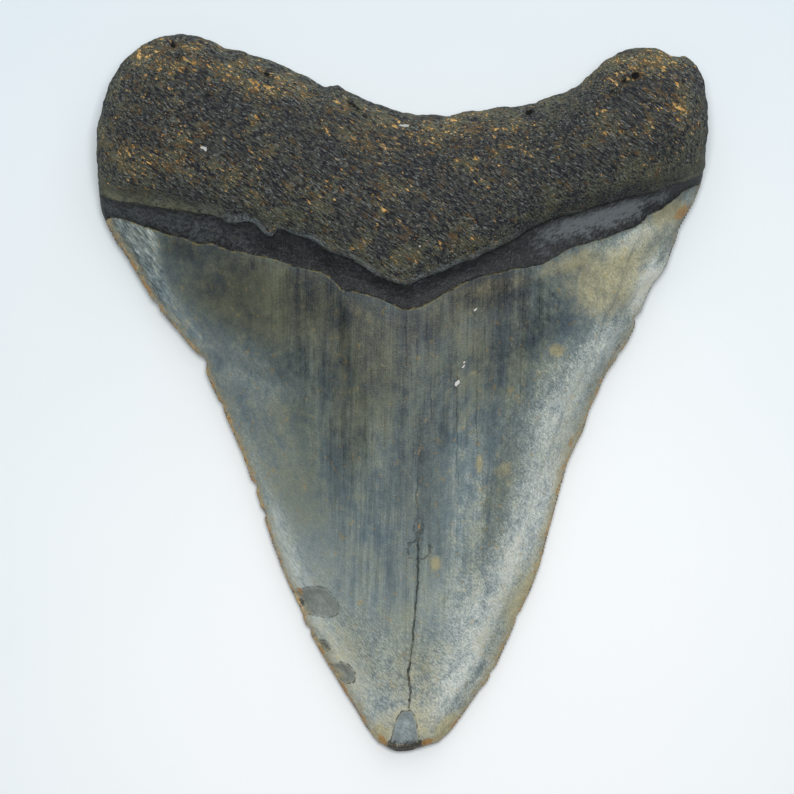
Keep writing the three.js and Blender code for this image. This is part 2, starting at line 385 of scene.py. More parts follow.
@dataclass
class ToothSurface:
    """The whole tooth as one closed surface.

    Each face is a grid in side and level. Between the grids lie closed rings around the outline,
    four times finer than the convex grid, which carry the serrated cutting edge.
    """

    plan: ToothPlan = field(default_factory=ToothPlan)
    columns: int = 200
    crown_rows: int = 188
    band_rows: int = 20
    root_rows: int = 72
    finer: int = 4
    coarser: int = 4
    inset: float = 1.3
    upper_rings: tuple[float, ...] = (0.0, 0.07, 0.19, 0.37, 0.64)
    lower_rings: tuple[float, ...] = (0.1, 0.32, 0.68)
    thickness: float = 25.5
    tip_edge: float = 2.4
    shoulder_edge: float = 4.6
    root_rim: float = 8.5
    enamel_top: float = 20.2
    enamel_step: float = 0.65
    ledge: float = 1.9
    tooth_pitch: float = 0.66
    noise: SolidNoise = SolidNoise(7)
    chips: tuple[Chip, ...] = (
        Chip(((-18.6, -33.2), (-18.4, -36.4), (-16.1, -37.0), (-14.4, -37.4), (-12.6, -37.6),
              (-11.1, -37.2), (-10.5, -36.2), (-10.8, -35.1), (-11.9, -33.6), (-12.5, -32.8),
              (-13.8, -32.4), (-15.6, -32.5)), 1.25, 0.9),
        Chip(((-14.2, -41.6), (-13.9, -43.4), (-12.5, -43.3), (-12.0, -42.5), (-12.8, -41.6)), 0.6, 0.8),
        Chip(((-11.9, -45.8), (-9.6, -49.0), (-8.1, -48.4), (-7.8, -47.0), (-8.9, -45.6),
              (-10.4, -45.2)), 0.8, 0.7),
        Chip(((-1.9, -58.5), (-1.9, -61.4), (2.9, -61.4), (2.9, -58.6), (2.2, -54.4), (1.6, -53.3),
              (0.0, -53.3), (-0.9, -54.6)), 0.95, 0.8),
    )
    pits: tuple[Spot, ...] = ovals(
        (-38.2, 58.1, 0.9, 0.6, -40, 0.7), (-37.2, 55.8, 0.8, 0.5, -40, 0.7),
        (-22.4, 53.1, 1, 0.5, -30, 0.8), (-32, 49.4, 0.9, 0.6, -20, 0.6),
        (-8, 47.9, 2.4, 0.5, -38, 0.7), (-6.1, 46, 0.9, 0.5, -30, 0.6),
        (38.7, 52.9, 0.9, 0.75, 20, 1), (36.9, 51.9, 0.8, 0.6, 0, 0.8),
        (35, 50.1, 0.8, 0.6, 0, 0.7), (21.2, 46.9, 1.1, 0.6, 10, 0.8),
        (25.2, 46.9, 0.9, 0.5, 10, 0.6), (28.1, 45.7, 0.8, 0.5, 0, 0.5),
    )

    @property
    def rows(self) -> int:
        """Number of row steps on the convex face."""
        return self.crown_rows + self.band_rows + self.root_rows

    @cached_property
    def levels(self) -> np.ndarray:
        """Level of each row, crowded at the enamel line, the ledge and the free edge."""
        crown = spaced(self.crown_rows, 0.0, 3.0)
        band = 1 + spaced(self.band_rows, 3.0, 2.0)
        root = 2 + spaced(self.root_rows, 9.0, 2.0)
        return np.concatenate([crown, band[1:], root[1:]])

    @cached_property
    def sides(self) -> np.ndarray:
        """Side parameter of each column, a little closer together near the outline."""
        even = np.linspace(-1, 1, self.columns + 1)
        return blend(even, np.sin(even * math.pi / 2), 0.3)

    def inward(
        self, side: np.ndarray, level: np.ndarray, share: np.ndarray | float
    ) -> tuple[np.ndarray, np.ndarray]:
        """Moves parameters in from the outline by a share of the inset distance."""
        half = self.plan.half_width(level)
        moved_side = side * (1 - self.inset * share / half)
        near_tip = np.clip(1 - level / 0.16, 0, 1)
        near_top = np.clip(1 - (3 - level) / 0.6, 0, 1)
        moved_level = level + self.inset * share * (near_tip / 85.0 - near_top / 26.0)
        return moved_side, moved_level

    def loop(self, times: int) -> tuple[np.ndarray, np.ndarray]:
        """Parameters once around the outline, starting at the tip's left corner and up the left side.

        Args:
            times: How many points for each grid step.

        Returns:
            side and level along the closed loop, without a repeated last point.
        """
        up = refined(self.levels, times)[:-1]
        over = refined(self.sides, times)[:-1]
        down = refined(self.levels, times)[:0:-1]
        back = refined(self.sides, times)[:0:-1]
        side = np.concatenate([-np.ones_like(up), over, np.ones_like(down), back])
        level = np.concatenate([up, 3 * np.ones_like(over), down, np.zeros_like(back)])
        return side, level

    def outline_distance(self, plan: np.ndarray) -> np.ndarray:
        """Distance from each plan point to the outline, measured to its fine chords."""
        line = self.plan.place(*self.loop(1), Face.CONVEX)
        step = np.roll(line, -1, axis=0) - line
        square = np.maximum((step**2).sum(axis=1), 1e-9)
        nearest = np.empty(len(plan))
        for start in range(0, len(plan), 4000):
            part = plan[start : start + 4000]
            gap = part[:, None, :] - line[None]
            share = np.clip(np.einsum("nek,ek->ne", gap, step) / square, 0, 1)
            gap -= share[..., None] * step
            nearest[start : start + 4000] = np.sqrt((gap**2).sum(axis=2).min(axis=1))
        return nearest

    def rim_height(self, side: np.ndarray, level: np.ndarray) -> np.ndarray:
        """Height of the outermost rim above the table."""
        crown = blend(self.tip_edge, self.shoulder_edge, np.clip(level, 0, 1) ** 2)
        root = self.root_rim * (1 + 0.12 * (1 - side**2))
        rise = 0.35 * np.clip(level - 1, 0, 1) + 0.65 * smooth_ramp(level - 2, 0, 0.6)
        return blend(crown, root, rise)

    def convex_height(
        self, side: np.ndarray, level: np.ndarray, edge: np.ndarray, lip: np.ndarray, enamel: np.ndarray
    ) -> np.ndarray:
        """Height of the convex face.

        Args:
            side: Side parameter.
            level: Level parameter.
            edge: Distance from the outline.
            lip: Distance above the root line, negative on band and crown.
            enamel: Distance above the enamel line, negative on the crown.

        Returns:
            Height above the table in millimetres.
        """
        rim = self.rim_height(side, level)
        inward = np.clip(1 - side**2, 0, 1)
        blunt = 0.45 * np.sqrt(np.clip(edge / 0.5, 0, 1))
        crown_level = np.clip(level, 0, 1)
        spine = CROWN_SPINE.height_at(crown_level)
        spine = spine * self.enamel_top / CROWN_SPINE.points[-1][1]
        blade = inward ** blend(1.05, 0.85, crown_level) * np.sqrt(np.clip(edge / 1.0, 0, 1))
        crown = rim + blunt + (spine - rim) * blade
        band_level = np.clip(level - 1, 0, 1)
        foot = self.thickness - 3.2 - self.ledge
        band_spine = blend(self.enamel_top, foot + self.enamel_step, band_level)
        band_spine = band_spine - 0.35 * np.sin(math.pi * band_level)
        band = rim + blunt + (band_spine - rim) * inward**0.85
        root_level = np.clip(level - 2, 0, 1)
        round_lip = np.sqrt(1 - (1 - np.clip(lip / 0.9, 0, 1)) ** 2)
        low_spine = foot + self.enamel_step
        root_spine = blend(low_spine, self.thickness + ROOT_SPINE.height_at(root_level), round_lip)
        lobe = inward ** blend(0.85, 0.42, smooth_ramp(root_level, 0, 0.12))
        crest = np.sqrt(np.clip(1 - root_level**3.2, 0, 1))
        root = rim + blunt + (root_spine - rim) * lobe * crest
        sunk = self.enamel_step * smooth_ramp(enamel, -0.06, 0.1) * (1 - round_lip) * inward**0.4
        return np.where(level <= 1, crown, np.where(level <= 2, band, root)) - sunk

    def flat_height(self, side: np.ndarray, level: np.ndarray, edge: np.ndarray) -> np.ndarray:
        """Height of the flat face: on the table inside, curling up to the rim."""
        rim = self.rim_height(side, level)
        outside = np.clip((np.abs(side) - 0.3) / 0.7, 0, 1)
        curl = outside ** np.where(level <= 1, 3.5, 4.5)
        tip_curl = np.clip(1 - level, 0, 1) ** 40
        top_curl = np.clip(level - 2, 0, 1) ** 7
        lift = np.clip(curl + tip_curl + top_curl - curl * (tip_curl + top_curl), 0, 1)
        root_level = np.clip(level - 2, 0, 1)
        gutter = 0.9 * smooth_ramp(root_level, 0, 0.05) * (1 - smooth_ramp(root_level, 0.05, 0.45))
        blunt = 0.45 * np.sqrt(np.clip(edge / 0.5, 0, 1))
        return (rim - blunt) * lift + gutter * (1 - lift)

    @staticmethod
    def ring_faces(outer: np.ndarray, inner: np.ndarray) -> np.ndarray:
        """Triangles between two closed rings with the same number of points."""
        next_outer, next_inner = np.roll(outer, -1), np.roll(inner, -1)
        first = np.stack([outer, next_outer, next_inner], axis=1)
        second = np.stack([outer, next_inner, inner], axis=1)
        return np.vstack([first, second])

    @staticmethod
    def zip_faces(fine: np.ndarray, coarse: np.ndarray, times: int) -> np.ndarray:
        """Triangles between a fine closed ring and one with times fewer points."""
        fine = fine.reshape(len(coarse), times)
        next_coarse = np.roll(coarse, -1)
        after = np.column_stack([fine, np.roll(fine[:, 0], -1)])
        half = times // 2
        fans = [np.stack([after[:, k], after[:, k + 1], coarse if k < half else next_coarse], axis=1)
                for k in range(times)]
        fans.append(np.stack([coarse, after[:, half], next_coarse], axis=1))
        return np.vstack(fans)

    @staticmethod
    def grid_faces(ids: np.ndarray) -> np.ndarray:
        """Triangles of a grid of point numbers, facing up when columns run right and rows away."""
        a, b, c, d = ids[:-1, :-1], ids[:-1, 1:], ids[1:, 1:], ids[1:, :-1]
        first = np.stack([a, b, c], axis=-1).reshape(-1, 3)
        second = np.stack([a, c, d], axis=-1).reshape(-1, 3)
        return np.vstack([first, second])

    @staticmethod
    def border(ids: np.ndarray) -> np.ndarray:
        """A grid's outer point numbers in the same order as loop."""
        return np.concatenate([ids[:-1, 0], ids[-1, :-1], ids[:0:-1, -1], ids[0, :0:-1]])

    def gather(self) -> tuple[Skin, np.ndarray, np.ndarray, np.ndarray]:
        """All points and triangles of both faces and the rings between them.

        Returns:
            The points, the triangles, each point's distance from the outline, and which points lie
            on the fine rings.
        """
        sides, levels, plans, faces_up, edges, rings, triangles = [], [], [], [], [], [], []
        count = 0

        def add(
            side: np.ndarray, level: np.ndarray, face: Face, up: float, share: float | None
        ) -> np.ndarray:
            """Stores one block of points and returns their numbers; share is None for a grid."""
            nonlocal count
            plan = self.plan.place(side, level, face).reshape(-1, 2)
            sides.append(side.ravel())
            levels.append(level.ravel())
            plans.append(plan)
            faces_up.append(np.full(side.size, up))
            known = share is not None
            edges.append(np.full(side.size, share * self.inset) if known else self.outline_distance(plan))
            rings.append(np.full(side.size, known and share < 1))
            ids = np.arange(count, count + side.size).reshape(side.shape)
            count += side.size
            return ids

        grid_side, grid_level = np.meshgrid(self.sides, self.levels)
        top = add(*self.inward(grid_side, grid_level, 1.0), Face.CONVEX, 1.0, None)
        triangles.append(self.grid_faces(top))
        loop_side, loop_level = self.loop(self.finer)
        upper = []
        for share in self.upper_rings:
            up = 0.5 if share == 0 else 1.0
            upper.append(add(*self.inward(loop_side, loop_level, share), Face.CONVEX, up, share))
        for outer, inner in zip(upper, upper[1:]):
            triangles.append(self.ring_faces(outer, inner)[:, ::-1])
        triangles.append(self.zip_faces(upper[-1], self.border(top), self.finer)[:, ::-1])
        lower = [upper[0]]
        for share in self.lower_rings:
            lower.append(add(*self.inward(loop_side, loop_level, share), Face.FLAT, 0.0, share))
        for outer, inner in zip(lower, lower[1:]):
            triangles.append(self.ring_faces(outer, inner))
        middle = add(*self.inward(*self.loop(1), 1.5), Face.FLAT, 0.0, 1.5)
        triangles.append(self.zip_faces(lower[-1], middle, self.finer))
        wide_side, wide_level = np.meshgrid(self.sides[:: self.coarser], self.levels[:: self.coarser])
        bottom = add(*self.inward(wide_side, wide_level, 3.2), Face.FLAT, 0.0, None)
        triangles.append(self.zip_faces(middle, self.border(bottom), self.coarser))
        triangles.append(self.grid_faces(bottom)[:, ::-1])
        skin = Skin(*(np.concatenate(part) for part in (sides, levels, plans, faces_up)))
        return skin, np.vstack(triangles), np.concatenate(edges), np.concatenate(rings)


# Height of the middle of the convex face along the crown, and of the root's middle against its crest.
CROWN_SPINE = Curve(((0, 3.6), (0.1, 6.4), (0.3, 11.0), (0.55, 15.2), (0.8, 18.4), (1, 20.2)))
ROOT_SPINE = Curve(((0, -3.2), (0.2, -1.1), (0.4, -0.5), (0.7, -2.4), (1, -6.0)))

# Soft ovals that place the tints of the convex face.
# Lighter ovals: mostly the enamel's own pale patches; the ones along the right rim and at the left
# shoulder's border add a painted sheen.
LIGHT_SPOTS = ovals(
    (36, 19, 9, 5.6, 15, 0.4), (41.8, 18.5, 11, 2.6, 62, 0.56), (39, 25.6, 9, 1.8, 28, 0.34),
    (31, 3, 13, 4, 62, 0.17), (23.5, -14, 17, 5, 69, 0.33), (10.6, -13, 10, 5, 80, 0.17),
    (28, 22.4, 6, 1.6, 22, 0.2), (-21.5, -24, 13, 3.2, -68, 0.06), (48.3, 33, 2.2, 1, 60, 0.45),
    (13, -38, 14, 4.5, 64, 0.17), (33, 10.5, 5, 6, 40, 0.2), (-22, -6, 10, 5, -68, 0.14),
    (10, -35, 10, 5, -60, 0.06), (12.5, -19, 9, 1, 80, 0.12), (26.6, 2.6, 9, 4.5, 62, 0.2),
    (23.2, -5, 6, 4, 62, 0.1), (33.5, 8.5, 6, 3, 60, 0.08), (10.8, -25.4, 9, 4, 80, 0.13),
    (20.4, -33.4, 6, 2.5, 66, 0.1), (-33.4, 9.6, 9, 4.5, -50, 0.1), (-25.4, 4, 8, 4.5, -60, 0.1),
    (-19.7, 0.6, 4, 3, 0, 0.07), (42, 27.6, 7.5, 3.4, 40, 0.24), (37, 26.4, 9, 1.1, 24, 0.2),
    (17, -12.4, 2.2, 1.4, 20, 0.1), (38.3, 20.5, 5, 3.5, 50, 0.08), (1.5, -55, 7, 5, 0, 0.1),
    (9, -49, 6, 2.5, 60, 0.06), (-10.5, -42, 8, 2.6, -62, 0.09), (-8.4, -48, 6, 2.5, -60, 0.11),
    (-9, -45, 10, 3.4, -62, 0.06), (20.4, -1, 8, 4, 66, 0.11), (25, 6.8, 6, 3, 60, 0.09),
    (-41.6, 24.8, 4.2, 1.3, -80, 0.12), (-37.4, 14, 8, 1.8, -55, 0.16),
    (11.5, -21, 10, 4, 80, 0.1), (18.5, -28, 7, 3, 70, 0.07), (-25.5, -12, 14, 2.5, -66, 0.07),
)
SHADE_SPOTS = ovals(
    (-37.6, 24, 3.6, 2, -20, 0.1), (-24, 15, 14, 7, -14, 0.14), (-6, 8, 10, 8, -70, 0.18),
    (17, 9, 11, 5, 75, 0.16), (25, 12.5, 6, 4.5, 40, 0.12), (3, -12, 18, 6, 90, 0.12),
    (-16, 2, 9, 7, -70, 0.1), (-31, 18, 6, 5, -30, 0.05), (5.5, -27, 6, 4, 90, 0.08),
    (0, -34, 9, 4, 90, 0.05), (-8, -16, 9, 4, -80, 0.06), (-9.6, 8, 8, 1.2, -88, 0.12),
    (38, 14.5, 3, 3, 0, 0.1), (37.4, 10.8, 4.5, 1.1, 58, 0.2), (46, 26.6, 4, 0.7, 62, 0.12),
    (43.4, 22.8, 2.2, 0.6, 62, 0.3), (13, 17, 5, 3, 14, 0.08), (13.1, 17, 8, 4.4, 14, 0.26),
    (-12.1, 15.2, 7, 5, -20, 0.18), (-8.7, -6.3, 7.5, 3.6, -85, 0.19),
    (3.2, 11.6, 5, 3.6, 0, 0.16), (-22, 18, 8, 3, -12, 0.06),
)
WARM_SPOTS = ovals(
    (34, 18.4, 8.5, 6.6, 20, 0.85), (27, 21.6, 7, 1.8, 20, 0.5), (42, 26.5, 8, 3.6, 40, 0.55),
    (44.8, 30.6, 4, 1.8, 30, 0.7), (15, 17.6, 8, 1.6, 12, 0.55), (-7.5, 14, 4, 1.6, -35, 0.5),
    (25.8, 7.3, 1.6, 1.3, 20, 1.1), (12.8, -11.6, 0.7, 2, 0, 1.1), (17, -12.6, 2.2, 1.4, 20, 0.8),
    (5.5, -28.2, 1.1, 1.6, 0, 1), (-11, -47, 9, 3.5, -62, 0.5), (12.1, 3.5, 1.1, 0.35, -5, 0.9),
    (2, -49, 9, 7, 90, 0.42), (19.4, -34, 5, 2.4, 60, 0.5), (-3.4, -57.2, 1.6, 1.2, -60, 0.7),
    (7.5, -56, 3, 1.2, 55, 0.8), (9, -2, 8, 3, 90, 0.3), (1, -56.5, 9, 3.6, 0, 0.55),
)
OLIVE_SPOTS = ovals(
    (-24, 15, 15, 8, -12, 0.7), (-6, 4, 14, 8, -80, 0.6), (8, 8, 12, 7, -70, 0.5),
    (-19, -10, 14, 7, -70, 0.55), (14, -20, 12, 4.5, 75, 0.5), (21, 4, 9, 4, 60, 0.4),
    (-2, -36, 16, 9, -85, 0.25), (28, -6, 8, 3, 62, 0.4), (18, -36, 12, 4, 64, 0.5),
    (-9.5, -44, 11, 5, -62, 0.5), (2, -46, 8, 4, 80, 0.3), (-30, 30, 14, 3, -8, 0.5),
)
STEEL_SPOTS = ovals(
    (-9.6, 8, 12, 1.8, -88, 0.6), (-34.5, 11, 10, 4.5, -50, 0.5), (26, 12, 8, 4, 40, 0.6),
    (-24, -4, 9, 5, -60, 0.35), (10, -14, 14, 6, 85, 0.4), (-6, -20, 12, 5, 90, 0.3),
    (16, 4, 10, 3, 88, 0.3), (12, -28, 9, 4, 70, 0.3), (-41, 19, 9, 4, -52, 0.4),
)
RUST_SPOTS = ovals(
    (-42.9, 17.6, 1.9, 0.7, -52, 0.9), (-45.4, 21.6, 1, 0.5, -55, 0.8),
    (-28.7, -8.6, 1.2, 0.45, -64, 0.8), (-17.3, -33.1, 1, 0.6, -62, 0.9),
    (-9.9, -49.4, 1.6, 0.5, -58, 0.8), (-3.4, -58.3, 1.3, 0.8, -50, 1),
    (4.3, -58.7, 1.4, 0.8, 15, 1), (9, -55.5, 1.7, 0.4, 48, 0.9), (47, 30.6, 2.4, 1.1, 45, 0.8),
    (28.4, -8.2, 1.4, 0.5, 70, 0.8), (27, -12.6, 1.2, 0.4, 74, 0.7), (35.8, 7, 1, 0.4, 60, 0.6),
    (0, -59.3, 3.4, 0.6, 0, 0.42), (-34.4, 5.6, 1.2, 0.4, -50, 0.7),
    (20.9, -34.6, 1.3, 0.4, 66, 0.6), (-36.4, 8.6, 1, 0.4, -45, 0.7),
    (-13.6, -43.4, 1.2, 0.4, -60, 0.8), (-6.6, -54.6, 1.6, 0.4, -56, 0.7),
    (-11.7, -46.4, 0.8, 0.4, -56, 0.6), (14, -21, 0.2, 0.2, 0, 0.6),
    (8.6, -7.6, 0.4, 0.25, -40, 0.9), (14.4, -14.5, 0.3, 0.2, 0, 0.8),
    (2.8, -10, 1.5, 0.16, 90, 0.7), (2.6, -17, 2, 0.14, 90, 0.55), (2.8, -22, 1.2, 0.14, 90, 0.7),
    (-26, -13.5, 4.5, 0.5, -66, 0.55), (-22.4, -22.5, 4, 0.5, -70, 0.45),
    (29, 23.6, 4.5, 0.9, 18, 0.36), (37, 22, 3, 2, 60, 0.2),
)
OCHRE_SPOTS = ovals(
    (-33, 55, 13, 5, -15, 0.6), (-15, 49, 14, 4, -25, 0.75), (-40, 44, 10, 10, 0, 0.5),
    (43.5, 50.5, 9, 5.5, -80, 1), (37, 54.5, 9, 4.5, 20, 0.9), (-40, 57, 8, 3.5, 10, 0.7),
    (-22, 47, 7, 3.5, -20, 0.4), (7, 44, 13, 4, 5, 0.9), (-46, 38.5, 6, 4, 0, 0.7),
    (16, 41, 9, 6, 20, 0.5), (-5, 36, 14, 8, -10, 0.45), (36, 43, 7, 5, 0, 0.6),
    (-30, 36, 16, 4, -10, 0.45), (4, 24, 14, 5, 0, 0.4),
)
GRIME_SPOTS = ovals(
    (-16.9, -35.1, 1.2, 0.8, -60, 0.6), (-13.2, -42.4, 1.4, 0.8, -60, 0.5),
    (-14.8, -40.7, 0.9, 0.5, -60, 0.4), (-12.2, -45.6, 1, 0.6, -60, 0.45),
    (25, -17.6, 0.8, 0.4, 70, 0.4), (30.4, -5.4, 0.7, 0.35, 60, 0.45),
    (36.4, 8, 1.2, 0.5, 55, 0.5), (34.4, 8.5, 1.7, 0.3, -18, 0.45), (43.6, 22, 1.6, 0.5, 62, 0.5),
)
WHITE_SPECKS = ovals(
    (9.1, 1.8, 0.8, 0.45, 70), (10.3, 5.2, 0.32, 0.26, 0), (10, 4.5, 0.36, 0.24, 20),
    (12.1, 13.9, 0.4, 0.26, -40), (-32.6, 40.4, 0.9, 0.35, -40), (-27, 50.9, 0.5, 0.16, -50),
    (-7.7, 38.4, 0.3, 0.15, -50), (0.4, 44.6, 1.3, 0.26, 0), (2.8, 24.4, 0.4, 0.25, -40),
    (-9.2, 44, 0.3, 0.15, -50),
)
CRACK = Curve((
    (15.8, 1.8), (5.0, 2.4), (-6.1, 3.0), (-15.2, 2.5), (-20.7, 2.6), (-28.0, 2.7), (-31.3, 2.6),
    (-35.2, 2.3), (-40.7, 1.8), (-44.8, 1.4), (-47.3, 1.0), (-49.8, 1.4), (-52.6, 1.2),
)[::-1])
GROOVES = ovals(
    (0.7, 9, 5.5, 0.13, 90, 0.55), (2.4, 7.2, 2.4, 0.1, 90, 0.4), (4.2, 8.6, 3.6, 0.1, 90, 0.35),
    (4.8, -0.6, 4.8, 0.1, 90, 0.4), (9.1, -3.6, 12.5, 0.11, 90, 0.5),
    (12.4, -3.6, 6.6, 0.12, 90, 0.5),
)
# Two small ring cracks; their soft dark arcs in the finish are painted shade.
CRACK_RINGS = ovals((2.7, -22.1, 1.3, 0.8, 90), (2.8, -26, 2, 1.6, 5))
# Lightness of the enamel at a few heights along the tooth, tip first.
LIGHT_BY_HEIGHT = ((-60, -50, -42, -32, -18, -4, 12, 28), (0.88, 0.88, 0.8, 0.69, 0.56, 0.47, 0.38, 0.36))
# Right border of the brushed left shoulder: heights along the tooth, then the border's x there.
SHEEN_BORDER = ((5, 11.6, 16.3, 22.5, 26.4, 29), (-29.5, -34.8, -38.2, -40.5, -40.6, -41.5))
NICKS = ovals(
    (-24.9, -15.5, 0.9, 0.9, 0, 0.5), (-23.2, -20.2, 0.8, 0.8, 0, 0.4),
    (39.6, 12.9, 0.9, 0.9, 0, 0.5), (36.2, 7, 0.8, 0.8, 0, 0.45), (-34, 5.4, 1.2, 1.2, 0, 0.5),
    (-41.6, 14.9, 0.9, 0.9, 0, 0.4), (-15.3, -39.6, 0.8, 0.8, 0, 0.4),
    (19.2, -37.4, 0.8, 0.8, 0, 0.3), (15, -46.9, 0.9, 0.9, 0, 0.25),
    (-30.9, -2, 0.8, 0.8, 0, 0.35),
)


@dataclass
class Tooth:
    """The fossil itself: its surface, relief, painted tints and texture map."""

    low: np.ndarray
    high: np.ndarray
    surface: ToothSurface = field(default_factory=ToothSurface)
    piece: bpy.types.Object | None = None

    def line_distance(self, plan: np.ndarray, line: Curve) -> np.ndarray:
        """Distance of plan points above a line that runs left to right, negative below it."""
        x = np.linspace(-52, 52, 521)
        slope = np.gradient(line.height_at(x), x)
        slope = np.convolve(np.pad(slope, 5, mode="edge"), np.ones(11) / 11, mode="valid")
        lean = np.cos(np.arctan(np.interp(plan[:, 0], x, slope)))
        return (plan[:, 1] - line.height_at(plan[:, 0])) * lean

    def serrate(self, skin: Skin, edge: np.ndarray, ring: np.ndarray) -> tuple[np.ndarray, np.ndarray]:
        """Moves ring points to cut the serrations, nicks and worn places of the outline.

        Args:
            skin: Surface points.
            edge: Distance from the smooth outline.
            ring: True for points on the fine rings.

        Returns:
            New plan points, and how deep each point lies in a notch between two serrations.
        """
        surface, noise = self.surface, self.surface.noise
        plan = skin.plan.copy()
        outline = surface.plan.place(*surface.loop(surface.finer), Face.CONVEX)
        along = np.roll(outline, -1, axis=0) - np.roll(outline, 1, axis=0)
        outward = np.stack([-along[:, 1], along[:, 0]], axis=1)
        outward /= np.linalg.norm(outward, axis=1, keepdims=True)
        repeat = int(ring.sum() // len(outline))
        outward = np.tile(outward, (repeat, 1))
        base = np.tile(outline, (repeat, 1))
        level, inset = skin.level[ring], edge[ring]
        length = np.where(skin.side[ring] < 0, surface.plan.left_edge.lengths[-1],
                          surface.plan.right_edge.lengths[-1])
        place = np.column_stack([base, np.zeros(len(base))])
        phase = level * length / surface.tooth_pitch + 1.2 * noise.value(place, 2.6)
        notch = 1 - np.abs(np.sin(math.pi * phase)) ** 0.8
        cutting = smooth_ramp(level, 0.012, 0.03) * smooth_ramp(level, 1.0, 0.97)
        worn = np.clip(0.5 + 1.1 * noise.rough(place, 3.4, 3), 0.05, 1.2)
        broken = np.max([chip.inside(base) for chip in surface.chips], axis=0)
        worn = worn * smooth_ramp(broken, 0.6, -0.4)
        near = np.clip(1 - inset / 1.1, 0, 1)
        shift = 0.1 * cutting - 0.26 * notch * cutting * worn * near**1.3
        pulled_in = np.interp(np.abs(base[:, 0]), [25, 42], [0.02, 0.36])
        shift -= smooth_ramp(level, 2.02, 2.4) * near * pulled_in
        uneven = 0.16 * noise.rough(place, 2.4, 3) * cutting
        uneven += 0.22 * noise.rough(place, 1.7, 3) * smooth_ramp(level, 1.9, 2.1)
        uneven += 0.2 * noise.rough(place, 1.6, 3) * smooth_ramp(level, 0.03, 0.01)
        nicked = sum(spot.weight(base) for spot in NICKS)
        shift += (uneven - nicked) * near
        plan[ring] += outward * shift[:, None]
        depth = np.zeros(len(plan))
        depth[ring] = notch * cutting * worn * near
        return plan, depth

    def build(self) -> bpy.types.Object:
        """Makes the mesh object with its attributes and texture map."""
        surface, noise = self.surface, self.surface.noise
        skin, triangles, edge, ring = surface.gather()
        plan, notch = self.serrate(skin, edge, ring)
        convex, flat = skin.convex > ON_CONVEX, skin.convex < ON_FLAT
        place = np.column_stack([skin.plan, 9.0 * skin.convex])
        wiggle = noise.rough(place * [1, 0.3, 0], 3.2, 3)
        lip_line = np.where(flat, self.line_distance(skin.plan, surface.plan.flat_root_line),
                            self.line_distance(skin.plan, surface.plan.root_line))
        lip = lip_line + 0.28 * wiggle
        enamel_line = np.where(flat, self.line_distance(skin.plan, surface.plan.flat_enamel_line),
                               self.line_distance(skin.plan, surface.plan.enamel_line))
        enamel = enamel_line + 0.42 * noise.rough(place * [1, 0.2, 0] + 31.0, 2.6, 3)
        height = surface.rim_height(skin.side, skin.level)
        height = np.where(convex, surface.convex_height(skin.side, skin.level, edge, lip, enamel), height)
        height = np.where(flat, surface.flat_height(skin.side, skin.level, edge), height)
        rim = surface.rim_height(skin.side, skin.level)
        broken = np.array([chip.cut(plan) for chip in surface.chips])
        cut = np.where(convex, np.maximum(broken.max(axis=0), 0), 0)
        cut = cut * (1 + 0.25 * noise.rough(place, 1.4, 2))
        height = np.where(convex, np.maximum(height - cut, rim + 0.12), height)
        height = height - np.where(convex, 0.16, -0.08) * notch * (np.abs(skin.convex - 0.5) > 0.2)
        points = np.column_stack([plan, height])
        mesh = bpy.data.meshes.new("tooth_surface")
        mesh.vertices.add(len(points))
        mesh.loops.add(triangles.size)
        mesh.polygons.add(len(triangles))
        mesh.vertices.foreach_set("co", points.ravel())
        mesh.loops.foreach_set("vertex_index", triangles.ravel().astype(np.int32))
        mesh.polygons.foreach_set("loop_start", np.arange(0, triangles.size, 3, dtype=np.int32))
        mesh.update(calc_edges=True)
        normals = np.empty(points.size, np.float32)
        mesh.vertex_normals.foreach_get("vector", normals)
        normals = normals.reshape(-1, 3).astype(float)
        crack = plan[:, 0] - CRACK.height_at(plan[:, 1])
        crack += 0.16 * noise.rough(place * [0, 1, 0], 1.7, 3)
        crack_strength = smooth_ramp(plan[:, 1], -2, -6) * smooth_ramp(plan[:, 1], -53.5, -52.5)
        crack_strength *= 0.42 + 0.58 * smooth_ramp(plan[:, 1], -22, -27)
        rise = self.relief(points, lip, enamel, convex)
        rise -= 0.3 * crack_strength * bell(crack, 0, 0.2) * convex
        points = points + normals * rise[:, None]
        points[:, 2] = np.maximum(points[:, 2], 0.0)
        self.paint(mesh, points, skin, lip, enamel, edge, crack, crack_strength, broken, convex)
        self.unwrap(mesh, skin, points, lip)
        scaled = points * MM * self.scale()
        scaled += [(self.low[0] + self.high[0]) / 2, (self.low[1] + self.high[1]) / 2, self.low[2]]
        mesh.vertices.foreach_set("co", scaled.ravel())
        mesh.update()
        mesh.shade_smooth()
        self.piece = bpy.data.objects.new("tooth_surface", mesh)
        bpy.context.scene.collection.objects.link(self.piece)
        return self.piece

    def scale(self) -> np.ndarray:
        """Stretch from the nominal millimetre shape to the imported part's box."""
        size = (self.high - self.low) / MM
        return np.array([size[0] / NOMINAL_WIDTH, size[1] / NOMINAL_HEIGHT, 1.0])

